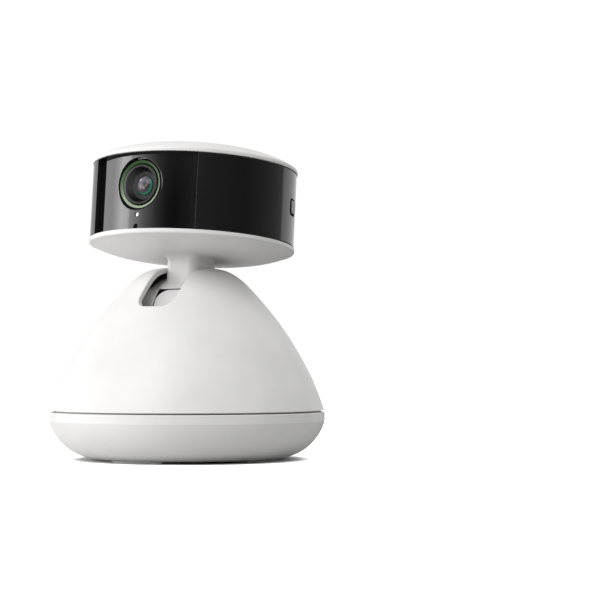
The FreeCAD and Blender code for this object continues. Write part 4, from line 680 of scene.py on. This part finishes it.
def make_materials():
    made = [
        plastic("white_plastic", (0.86, 0.855, 0.845), 0.42, 0.4, grain=0.25),
        plastic("inner_plastic", (0.78, 0.78, 0.77), 0.5, 0.4, grain=0.2),
        plastic("gloss_black", (0.0035, 0.0035, 0.004), 0.04, 0.5, tint=0.2),
        plastic("black_plastic", (0.012, 0.012, 0.012), 0.4, 0.4, grain=0.2),
        plastic("button_grey", (0.2, 0.2, 0.21), 0.35, 0.5, grain=0.2),
        plastic("green_ring", (0.07, 0.2, 0.06), 0.18, 0.5),
        plastic("lens_glass", (0.8, 0.82, 0.9), 0.03),
        plastic("light_guide", (0.9, 0.9, 0.9), 0.3),
        plastic("led_epoxy", (0.05, 0.02, 0.05), 0.1),
        plastic("grey_rubber", (0.8, 0.8, 0.79), 0.7, 0.3, grain=0.3),
        plastic("black_rubber", (0.006, 0.006, 0.006), 0.7, 0.1, grain=0.3),
        metal("zinc_steel", (0.6, 0.6, 0.61), 0.3),
        metal("spring_steel", (0.5, 0.5, 0.51), 0.25),
        metal("ballast_steel", (0.35, 0.36, 0.37), 0.5),
        metal("tin_can", (0.75, 0.75, 0.76), 0.2),
        metal("bronze", (0.6, 0.4, 0.2), 0.4),
        plastic("acetal", (0.85, 0.84, 0.8), 0.35, grain=0.1),
        plastic("circuit_board", (0.015, 0.12, 0.05), 0.25, tint=0.15),
        plastic("chip_black", (0.03, 0.03, 0.05), 0.1),
        plastic("speaker_black", (0.02, 0.02, 0.02), 0.5, grain=0.3),
        # The front glass's colour is painted reflections: a painted white glint at its upper left, a painted
        # violet-grey reflection over its upper left, painted pinkish, yellowish and violet reflections of the
        # inner elements, and a painted green coating reflection round its rim.
        spotted("glass_painted_reflections", (0.03, 0.24, 0.14), [
            ((-0.12, 0.12), 0.92, 0.1, (0.07, 0.065, 0.085)), ((-0.75, 0.75), 1.1, 0.5, (0.2, 0.185, 0.225)),
            ((0.25, -0.1), 0.45, 0.3, (0.05, 0.045, 0.055)), ((0.03, -0.22), 0.13, 0.12, (0.36, 0.27, 0.27)),
            ((0.33, 0.02), 0.1, 0.1, (0.27, 0.25, 0.17)), ((0.5, 0.33), 0.09, 0.09, (0.22, 0.16, 0.24)),
            ((-0.5, 0.66), 0.1, 0.1, (1.0, 1.0, 1.0))], 0.12, 0.2),
        # The green trim is painted dark at its top as the shade under the opening's overhang, and painted
        # light at its bottom as light falling from above.
        spotted("green_trim_painted_shade", (0.02, 0.09, 0.01), [((0.1, -1.5), 1.7, 0.9, (0.36, 0.45, 0.31))], 0.3, 0.5),
        # Near-black painted shade: used on the lens surround's recess, the sheet in the dust cover's gap and
        # the button's sides, where shade falls.
        plastic("painted_shade_black", (0.003, 0.003, 0.003), 0.6, 0.15),
        # The barrel's inside is painted: a deeper painted shade inside the lip, and a painted sheen on its
        # left.
        spotted("baffle_painted_shade_and_sheen", (0.012, 0.012, 0.012), [
            ((0, 0), 0.88, 0.02, (0.003, 0.003, 0.003)),
            ((-0.75, 0.25), 0.5, 0.4, (0.075, 0.075, 0.077))], 0.35, 0.3),
        plastic("edge_black", (0.02, 0.02, 0.02), 0.1, 1.0)]
    found = {material.name.split(".")[0]: material for material in made}
    for name, socket, value in (("lens_glass", "Transmission Weight", 1), ("lens_glass", "IOR", 1.5),
                                ("light_guide", "Emission Color", (1, 1, 1, 1)),
                                ("light_guide", "Emission Strength", 0.9), ("edge_black", "IOR", 1.7)):
        principled(found[name])[socket].default_value = value
    return found


# ------------ base and cone
def bowl_profile():
    """Underside, bowl and band of the dish, from the axis to inside the rim."""
    mid_r, mid_z = (DISH_FLOOR_R + BASE_R) / 2, (DISH_FLOOR_Z + BAND_Z0) / 2
    chord = math.hypot(BASE_R - DISH_FLOOR_R, BAND_Z0 - DISH_FLOOR_Z)
    out = np.array([BAND_Z0 - DISH_FLOOR_Z, -(BASE_R - DISH_FLOOR_R)]) / chord
    radius = (chord ** 2 / 4 + BOWL_BULGE ** 2) / (2 * BOWL_BULGE)
    centre = np.array([mid_r, mid_z]) + out * (BOWL_BULGE - radius)
    a0 = math.atan2(DISH_FLOOR_Z - centre[1], DISH_FLOOR_R - centre[0])
    a1 = math.atan2(BAND_Z0 - centre[1], BASE_R - centre[0])
    angle = np.linspace(a0, a1, 40)[1:-1]
    ways = np.stack([np.cos(angle), np.sin(angle)], 1)
    bowl = centre + ways * radius
    inner_r = BASE_R - RIM_WIDTH
    low = rounded([(0, DISH_FLOOR_Z), (DISH_FLOOR_R, DISH_FLOOR_Z), bowl[1]], [0, DISH_CORNER, 0])
    high = rounded([bowl[-2], (BASE_R, BAND_Z0), (BASE_R, BAND_Z1), (inner_r, BAND_Z1),
                    (inner_r, BAND_Z1 - RIM_DEPTH)], [0, BAND_EDGE_LOW, BAND_EDGE_TOP, RIM_EDGE, 0])
    return joined((low[0][:-1], low[1][:-1]), (bowl[2:-2], ways[2:-2]), (high[0][1:], high[1][1:]))


def cone_profile():
    """From the top of the cone down to its foot and in under it."""
    height = CONE_TOP_Z - CONE_Z0
    shape = [(r * CONE_R, CONE_Z0 + z * height) for r, z in [(1, 0)] + CONE_SHAPE + [(0, 1)]]
    points, normals = spline(shape, (-1, 0))
    foot = rounded([(CONE_R - SHELL_WALL, CONE_Z0), (CONE_R, CONE_Z0), tuple(points[1])], [0, FOOT_EDGE, 0])
    points, normals = joined((foot[0][:-1], foot[1][:-1]), (points[1:], normals[1:]))
    return points[::-1], normals[::-1]


def radius_at(profile, z):
    points = profile[0]
    order = np.argsort(points[:, 1])
    return np.interp(z, points[order, 1], points[order, 0])


def height_at(profile, r):
    points = profile[0]
    upper = points[points[:, 1] > CONE_Z0 + 1]
    order = np.argsort(upper[:, 0])
    return np.interp(r, upper[order, 0], upper[order, 1])


def slot_outline(profile):
    """The slot's edge on the cone, and the way down its walls."""
    x0, x1, zf, yb, rf, rb = SLOT_X0, SLOT_X1, SLOT_FRONT_Z, SLOT_BACK_Y, SLOT_FRONT_ROUND, SLOT_BACK_ROUND

    def front(x, z):
        x, z = np.broadcast_arrays(*np.atleast_1d(x, z))
        return np.stack([x, -np.sqrt(radius_at(profile, z) ** 2 - x ** 2), z], 1)

    def above(x, y):
        x, y = np.broadcast_arrays(*np.atleast_1d(x, y))
        return np.stack([x, y, height_at(profile, np.hypot(x, y))], 1)
    angle = np.linspace(0, QUARTER, 14)
    c, s, zero = np.cos(angle), np.sin(angle), np.zeros(14)
    across, along = np.linspace(0, 1, 30), np.linspace(0, 1, 90)
    right_y, left_y = front(x1, zf + rf)[0, 1], front(x0, zf + rf)[0, 1]
    runs = [
        (front(x0 + rf + (x1 - x0 - 2 * rf) * across, zf), [(0, 0, 1)] * 30),
        (front(x1 - rf + rf * s, zf + rf - rf * c), np.stack([-s, zero, c], 1)),
        (above(x1, right_y + (yb - rb - right_y) * along), [(-1, 0, 0)] * 90),
        (above(x1 - rb + rb * c, yb - rb + rb * s), np.stack([-c, -s, zero], 1)),
        (above(x1 - rb - (x1 - x0 - 2 * rb) * across, yb), [(0, -1, 0)] * 30),
        (above(x0 + rb - rb * s, yb - rb + rb * c), np.stack([s, -c, zero], 1)),
        (above(x0, yb - rb + (left_y - yb + rb) * along), [(1, 0, 0)] * 90),
        (front(x0 + rf - rf * c, zf + rf - rf * s), np.stack([c, zero, s], 1)),
    ]
    points = np.vstack([r[0][:-1] for r in runs])
    hollow = np.vstack([r[1][:-1] for r in runs])
    both = evenly(np.hstack([points, hollow * 2]), SLOT_SPACING)
    points, hollow = both[:, :3], both[:, 3:]
    tangent = np.roll(points, -1, axis=0) - np.roll(points, 1, axis=0)
    down = np.cross(tangent, hollow)
    inwards = np.array([0, 0, 40.0]) - points
    return points, unit(down * np.sign((down * inwards).sum(1))[:, None])


def grille_outlines(profile):
    """The speaker's holes at the back of the cone, each found along the speaker's axis."""
    axis = np.array([0, math.cos(SPEAKER_SLOPE), math.sin(SPEAKER_SLOPE)])
    across, up = np.array([1.0, 0, 0]), np.array([0, math.sin(SPEAKER_SLOPE), -math.cos(SPEAKER_SLOPE)])
    r, z = CONE_SHAPE[1]
    start = np.array([0, r * CONE_R, CONE_Z0 + z * (CONE_TOP_Z - CONE_Z0)]) - SPEAKER_SET_IN * axis
    count = 14
    hole = circle(GRILLE_HOLE_R, count)
    found = []
    for ring in range(GRILLE_RINGS):
        for x, y in circle(ring * GRILLE_STEP, max(1, 6 * ring)):
            base = start + (x + hole[:, :1]) * across + (y + hole[:, 1:]) * up
            low, high = np.zeros(count), np.full(count, GRILLE_REACH)
            for _ in range(40):
                t = (low + high) / 2
                p = base + t[:, None] * axis
                out = np.hypot(p[:, 0], p[:, 1]) > radius_at(profile, p[:, 2])
                high, low = np.where(out, t, high), np.where(out, low, t)
            found.append((base + low[:, None] * axis, -axis, GRILLE_EDGE))
    return found


def make_cone():
    profile = cone_profile()
    surface = Turned(profile)
    rim, spacing = surface.way[-1], 1.1
    inner = disc_points(rim, spacing)
    inner = inner[np.hypot(inner[:, 0], inner[:, 1]) < rim - FOOT_RINGS[-1] - 0.3]
    inner = np.vstack([inner] + [circle(rim - way) for way in FOOT_RINGS])
    holes = [(*slot_outline(profile), SLOT_EDGE)] + grille_outlines(profile)
    skin(surface, circle(rim), inner, holes, spacing).make(
        "cone", "white_plastic", "pan_stage", ["cone_shell"])


def make_dish():
    profile = bowl_profile()
    surface = Turned(profile)
    end = circle(INLET_H / 2, 48)
    x = (INLET_W - INLET_H) / 2 * np.sign(end[:, 0]) + end[:, 0]
    z = INLET_Z + end[:, 1]
    heights = profile[0][:, 1]
    flank = profile[0][(heights > DISH_FLOOR_Z + 0.3) & (heights < BAND_Z0)]
    mouth = np.stack([x, np.sqrt(np.interp(z, flank[:, 1], flank[:, 0]) ** 2 - x ** 2), z], 1)
    rim = surface.way[-1]
    inner = np.vstack([disc_points(35, 3.0)] + [circle(way) for way in surface.way[surface.way > 30][:-1]])
    holes = [(evenly(mouth, 0.4), (0, -1, 0), INLET_EDGE)]
    skin(surface, circle(rim), inner, holes, 0.7).make("dish", "white_plastic", "base", ["base_dish"])


# ------------ head
def domed(r, edge_r, edge_z, rise, power):
    """A surface that rises to its middle by a power of the radius: profile, and normals upwards."""
    slope = -rise * power * (r / edge_r) ** (power - 1) / edge_r
    ways = np.stack([-slope, np.ones(len(r))], 1) / np.hypot(slope, 1)[:, None]
    return np.stack([r, edge_z + rise * (1 - (r / edge_r) ** power)], 1), ways


def belly_height(r):
    return domed(r, BELLY_EDGE_R, BELLY_EDGE_Z, -BELLY_RISE, BELLY_POWER)[0][:, 1]


def make_belly():
    r = BELLY_EDGE_R * np.sqrt(np.linspace(0, 1, 50))
    low, up = domed(r, BELLY_EDGE_R, BELLY_EDGE_Z, -BELLY_RISE, BELLY_POWER)
    corner = spline([(BELLY_EDGE_R, BELLY_EDGE_Z), BELLY_CORNER, (LIP_R, RIM_Z0)], (0, 1))
    rim = rounded([(LIP_R, RIM_Z0), (LIP_R, RIM_Z1), (LEDGE_R, RIM_Z1), (LEDGE_R, RIM_Z1 + 2)],
                  [0, RIM_EDGE, 0, 0])
    surface = Turned(joined((low[:-1], -up[:-1]), corner, (rim[0][1:], rim[1][1:])))
    way = surface.way
    holes = []
    for side in (-1, 1):
        hole = circle(HEAD_SCREW_HOLE_R, 28) + (side * HEAD_SCREW_X, HEAD_SCREW_Y)
        holes.append((np.column_stack([hole, belly_height(np.hypot(*hole.T))]), (0, 0, 1), HEAD_SCREW_EDGE))
    inner = np.vstack([disc_points(36, 2.0)] + [circle(s) for s in way[(way > 36) & (way < way[-1])]])
    skin(surface, circle(way[-1]), inner, holes, 1.0).make(
        "head_underside", "white_plastic", "head", ["head_bottom"])


def box_corners(centre, half, radius):
    """The rounded corners of a box on plan, in order: points, and the ways outwards."""
    corners = []
    for k, corner in enumerate(((1, 1), (-1, 1), (-1, -1), (1, -1))):
        turn = np.linspace(0, QUARTER, 9) + k * QUARTER
        way = np.stack([np.cos(turn), np.sin(turn)], 1)
        corners.append((centre + (half - radius) * np.array(corner) + way * radius, way))
    return corners


def neck_outline(grow):
    """The column's outline with rounded corners, set out by grow: points and the ways outwards."""
    centre = np.array([NECK_X0 + NECK_X1, NECK_Y0 + NECK_Y1]) / 2
    half = np.array([NECK_X1 - NECK_X0, NECK_Y1 - NECK_Y0]) / 2 + grow
    corners = box_corners(centre, half, NECK_ROUND + grow)
    share = np.linspace(0, 1, 12)[1:-1, None]
    points, ways = [], []
    for (arc, way), (after, _) in zip(corners, corners[1:] + corners[:1]):
        points += [arc, arc[-1] * (1 - share) + after[0] * share]
        ways += [way, np.tile(way[-1], (10, 1))]
    return np.vstack(points), np.vstack(ways)


def make_collar():
    """The hollow curve between the column and the underside."""
    rows, ways = [], []
    base, out = neck_outline(COLLAR_LIFT)
    size = (COLLAR_ROUND + (COLLAR_FRONT - COLLAR_ROUND) * np.maximum(0, -out[:, 1]) ** 3)[:, None]
    for turn in np.linspace(0, QUARTER, 9):
        plan = base + out * size * (1 - math.cos(turn))
        height = belly_height(np.hypot(*plan.T)) - size[:, 0] * (1 - math.sin(turn))
        rows.append(np.column_stack([plan, height + COLLAR_LIFT]))
        ways.append(np.column_stack([out * math.cos(turn), np.full(len(plan), -math.sin(turn))]))
    shape = Shape()
    shape.grid(rows, ways, closed=True)
    shape.make("neck_collar", "white_plastic", "head")


def about_tilt(x, angle, radius):
    """Points at an angle from straight up to the front, about the tilt axis."""
    return np.stack([x, 0 * x - radius * np.sin(angle), 0 * x + radius * np.cos(angle)], -1)


def cover_sheet(left, radius, angles, edge):
    """A strip of the dust cover from a left edge, rounded over its skirt, to the neck's right side."""
    shape = Shape()
    turn = np.linspace(0.3, QUARTER, 5)
    height = np.concatenate([[-COVER_SKIRT, -edge], edge * (np.sin(turn) - 1), np.zeros(7)])
    lean = np.concatenate([[1, 1], np.cos(turn), np.zeros(7)])
    rows, ways = [], []
    for angle, x0 in zip(angles, left):
        way = about_tilt(np.zeros(1), angle, 1)
        x = np.concatenate([[x0, x0], x0 + edge * (1 - np.cos(turn)), np.linspace(x0 + edge, NECK_X1, 8)[1:]])
        rows.append(about_tilt(x, angle, radius + height))
        ways.append(way * np.sqrt(1 - lean ** 2)[:, None] - np.array([1.0, 0, 0]) * lean[:, None])
    shape.grid(rows, ways)
    return shape


def make_cover():
    """The barrel under the dust cover's groove, with a rounded corner, and a near-black sheet in the gap
    round it as painted shade.
    """
    start, end = math.radians(COVER_START), math.radians(COVER_END)
    gap = cover_sheet(np.full(COVER_ROWS, NECK_X0 - 0.1), COVER_R + COVER_SHADE_SHEET_LIFT,
                      np.linspace(start, end, COVER_ROWS), 0.02)
    gap.make("cover_gap_painted_shade", "white_plastic", "head", look="painted_shade_black")
    start += COVER_GAP / COVER_R
    angles = start + (end - start) * np.linspace(0, 1, COVER_ROWS) ** 1.5
    way = np.minimum(1, (angles - start) * COVER_R / COVER_CORNER)
    left = NECK_X0 + 0.35 + COVER_CORNER * (1 - np.sqrt(1 - (1 - way) ** 2))
    barrel = cover_sheet(left, COVER_R + COVER_BARREL_LIFT, angles, COVER_EDGE)
    edge = [about_tilt(np.linspace(left[0], NECK_X1, 12), start, COVER_R + lift)
            for lift in (COVER_BARREL_LIFT, -COVER_BARREL_LIFT)]
    barrel.grid(edge, [[about_tilt(np.zeros(1), start - QUARTER, 1)[0]] * 12] * 2)
    barrel.make("cover_barrel", "white_plastic", "head")


def make_cap():
    top, up = domed(LIP_R * np.sqrt(np.linspace(1, 0, 60)), LIP_R, CAP_Z1, CAP_RISE, CAP_POWER)
    side = rounded([(LEDGE_R, CAP_Z0 - 2), (LEDGE_R, CAP_Z0), (LIP_R, CAP_Z0), (LIP_R, CAP_Z1), top[3]],
                   [0, 0, CAP_EDGE_LOW, CAP_EDGE_HIGH, 0])
    profile = joined((side[0][:-1], side[1][:-1]), (top[3:], up[3:]))
    spun(profile).make("cap", "white_plastic", "head", ["top_cap"])


def button_outline(grow, spacing):
    """A rounded rectangle, centred on the button, as it lies flat."""
    half = np.array([BUTTON_W, BUTTON_H]) / 2 + grow
    return evenly(np.vstack([arc for arc, _ in box_corners(np.zeros(2), half, BUTTON_ROUND + grow)]), spacing)


def button_at(outline, radius):
    """A flat outline wrapped round the head where the button is."""
    turn = BUTTON_ANGLE + outline[:, 0] / HEAD_R
    return np.column_stack([radius * outwards(turn), BUTTON_Z + outline[:, 1]])


def band_plan():
    """The band's outside on plan between its two turned-in ends, the ways outwards, the number of points
    in an end, and the angle at which the round wall starts."""
    start, end = PANEL_END, 2 * math.pi + PANEL_START
    angle = np.linspace(start + BAND_ENDS[0] / HEAD_R, end - BAND_ENDS[1] / HEAD_R, 260)[1:-1]
    turn = np.linspace(0, QUARTER, 6)[1:, None]
    ends = []
    for a, sign, e in ((start, -1, BAND_ENDS[0]), (end, 1, BAND_ENDS[1])):
        out, into = outwards(a), np.array([math.cos(a), math.sin(a)]) * sign
        ways = into * np.cos(turn) + out * np.sin(turn)
        corner = (HEAD_R - e) * out
        ends.append((np.vstack([PANEL_INNER_R * out, corner, corner - into * e + ways * e]),
                     np.vstack([into, into, ways])))
    (first, first_n), (last, last_n) = ends
    plan = np.vstack([first, HEAD_R * outwards(angle), last[::-1]])
    return plan, np.vstack([first_n, outwards(angle), last_n[::-1]]), len(first), angle[0]


def make_band():
    """Gloss wall round the head: two edges turned in to the window, an opening for the button."""
    plan, ways, first, angle = band_plan()
    wall = Followed(plan, ways, first, angle)
    f = BAND_EDGE
    heights = [BAND_LOW_Z + f, BAND_HIGH_Z - f]
    shape = Shape()
    for level, sign in ((heights[0], -1), (heights[1], 1)):
        rows, normals = [], []
        for t in np.linspace(0, QUARTER, 6):
            height = np.full(len(plan), level + sign * f * math.sin(t))
            rows.append(np.column_stack([plan - ways * f * (1 - math.cos(t)), height]))
            normals.append(np.column_stack([ways * math.cos(t), np.full(len(plan), sign * math.sin(t))]))
        rows.append(np.column_stack([plan - ways * BAND_SET_IN, np.full(len(plan), level + sign * f)]))
        normals.append(np.tile([0, 0, float(sign)], (len(plan), 1)))
        shape.grid(rows, normals)
    way = wall.way
    edge = ([(w, heights[0]) for w in way] + [(way[-1], z) for z in np.linspace(*heights, 12)[1:-1]]
            + [(w, heights[1]) for w in way[::-1]] + [(0, z) for z in np.linspace(*heights[::-1], 12)[1:-1]])
    inner = [(w, z) for w in way[1:-1] for z in np.linspace(*heights, 10)[1:-1]]
    hole = (button_at(button_outline(GAP, 0.5), HEAD_R), (*-outwards(BUTTON_ANGLE), 0), BUTTON_EDGE)
    skin(wall, edge, inner, [hole], 0.9, shape).make(
        "gloss_band", "gloss_black", "head", ["side_band"])


def make_button():
    """The button's face, a little proud of the band, and its sides, painted near-black as shade in the gap
    round it.
    """
    out = np.array([*outwards(BUTTON_ANGLE), 0])
    outline = button_outline(-BUTTON_INSET, 0.4)
    middle = outline.mean(0)
    away = button_at(outline, HEAD_R) - button_at(np.tile(middle, (len(outline), 1)), HEAD_R)
    sides = Shape()
    sides.grid([button_at(outline, HEAD_R + level) for level in (-BUTTON_DEPTH, BUTTON_PROUD - BUTTON_EDGE)],
               [away, away], closed=True)
    sides.make("button_sides", "button_grey", "button", look="painted_shade_black")
    rows, ways = [], []
    for t in np.linspace(0, 1, 12):
        rim = max(0, 1 - 5 * t)
        lift = BUTTON_PROUD - BUTTON_EDGE * rim ** 2
        rows.append(button_at(middle + (outline - middle) * (1 - t), HEAD_R + lift))
        ways.append(out + rim * 0.8 * away / (np.linalg.norm(away, axis=1)[:, None] + 1e-9))
    face = Shape()
    face.grid(rows, ways, closed=True)
    face.make("button_face", "button_grey", "button", ["side_button"])


def make_panel():
    """Gloss window, set in from the band, with the lens opening, the light and the microphone's hole."""
    axis = np.array([*outwards(LENS_TURN), 0])
    right = np.array([math.cos(LENS_TURN), math.sin(LENS_TURN), 0])

    def ring(radius, height, count):
        x, z = circle(radius, count).T
        return (right * x[:, None] + axis * np.sqrt(PANEL_R ** 2 - x ** 2)[:, None]
                + np.column_stack([0 * x, 0 * x, height + z]))
    holes = [(ring(LENS_HOLE_R, LENS_Z, 150), -axis, LENS_HOLE_EDGE),
             (ring(LIGHT_HOLE_R, LIGHT_Z, 30), -axis, SMALL_EDGE),
             (ring(MIC_HOLE_R, MIC_Z, 30), -axis, SMALL_EDGE)]
    u0, u1 = PANEL_START * PANEL_R, PANEL_END * PANEL_R - SEAM
    z0, z1 = BAND_LOW_Z, BAND_HIGH_Z
    us, zs = np.linspace(u0, u1, 46), np.linspace(z0, z1, 24)
    edge = ([(u, z0) for u in us] + [(u1, z) for z in zs[1:-1]] + [(u, z1) for u in us[::-1]]
            + [(u0, z) for z in zs[::-1][1:-1]])
    inner = [(u, z) for u in us[1:-1] for z in zs[1:-1]]
    trim = Shape()
    shape = skin(Wrapped(PANEL_R), edge, inner, holes, 0.9, trim=trim)
    trim.make("lens_opening_edge", "gloss_black", "head", look="edge_black")
    add_groove(shape, u1 / PANEL_R)
    add_lintel(shape)
    shape.make("window", "gloss_black", "head", ["front_panel"])


def add_groove(shape, turn):
    """The dark gap between the window's right edge and the band."""
    deep = PANEL_R - GROOVE_DEPTH
    corner = [PANEL_R * outwards(turn), deep * outwards(turn), deep * outwards(PANEL_END)]
    side, back = (math.cos(turn), math.sin(turn), 0), (*outwards(turn), 0)
    for k, way in enumerate((side, back)):
        shape.grid([[(*at, BAND_LOW_Z), (*at, BAND_HIGH_Z)] for at in corner[k:k + 2]], [[way] * 2] * 2)


def add_lintel(shape):
    """The thin ledge over the window, under the cap."""
    z = BAND_HIGH_Z
    points, ways = rounded([(PANEL_R - 0.2, z), (HEAD_R, z), (HEAD_R, z + LINTEL_H), (PANEL_R, z + LINTEL_H)],
                           [0, 0.1, 0.05, 0])
    out = outwards(np.linspace(PANEL_START, PANEL_END, 70))
    shape.grid(*([np.column_stack([out * r, np.full(70, z)]) for r, z in rows] for rows in (points, ways)))


# ------------ lens
def window_place(height):
    """Takes points from the frame of something at this height, x right, y up, z outwards, into the head's."""
    right = np.array([math.cos(LENS_TURN), math.sin(LENS_TURN), 0])
    out = np.array([*outwards(LENS_TURN), 0])
    up = np.array([0, 0, 1])

    def place(values, moved):
        return values[..., :1] * right + values[..., 1:2] * up + values[..., 2:] * out + moved * height * up
    return place


def out_from_window(points, radii):
    return rounded([(r, PANEL_R + z) for r, z in points], radii)


def lens_piece(name, slot, profile, replaced, look):
    spun(profile, 160, window_place(LENS_Z)).make(name, slot, "head", [replaced], look=look)


def make_lens():
    # The surround is painted near-black as the shade in the opening's recess.
    lens_piece("lens_surround", "black_plastic", out_from_window(*SURROUND), "lens_bezel", "painted_shade_black")
    # The trim's darker top and lighter bottom are painted shade and painted light.
    lens_piece("green_trim", "green_ring", out_from_window(*TRIM), "lens_ring", "green_trim_painted_shade")
    points, radii = (list(part) for part in BARREL_OUTSIDE)
    r, z = points[-1]
    for _ in range(BARREL_BAFFLES):
        z -= BAFFLE_DEPTH
        points.append((r, z))
        r -= BAFFLE_WIDTH
        points.append((r, z))
        radii += BARREL_EDGES
    heights, bore = BARREL_BORE
    points += [(r, heights[0])] + [(bore, height) for height in heights]
    radii += [BARREL_EDGES[1], BARREL_EDGES[1], 0]
    # The barrel's inner shade and sheen are painted into its colour.
    lens_piece("lens_barrel_dressed", "black_plastic", out_from_window(points, radii),
               "lens_barrel", "baffle_painted_shade_and_sheen")
    r = np.linspace(GLASS_R, 0, 20)
    sphere = (GLASS_R ** 2 + GLASS_RISE ** 2) / (2 * GLASS_RISE)
    middle = PANEL_R + GLASS_OUT + GLASS_RISE - sphere
    dome = np.stack([r, middle + np.sqrt(sphere ** 2 - r ** 2)], 1)
    dome_n = np.stack([r / sphere, np.sqrt(1 - (r / sphere) ** 2)], 1)
    # The glass's glint and reflections are painted into its colour.
    lens_piece("front_glass", "lens_glass", joined(out_from_window(*GLASS_BACK), (dome, dome_n)),
               "lens_front_glass", "glass_painted_reflections")


def make_status_light():
    """A short clear pipe, set back in its hole."""
    spun(out_from_window(*PIPE), 32, window_place(LIGHT_Z)).make(
        "status_light_pipe", "light_guide", "head", ["status_light"])


make_camera()
make_world()
make_key()
make_floor()
materials = make_materials()
slots = {row["node"]: row["material_slot"] for row in frame["record"]["subparts"]}
for name, obj in nodes.items():
    obj.data.materials.clear()
    obj.data.materials.append(materials[slots[name]])
make_cone()
make_dish()
make_belly()
make_collar()
make_cover()
make_cap()
make_band()
make_button()
make_panel()
make_lens()
make_status_light()
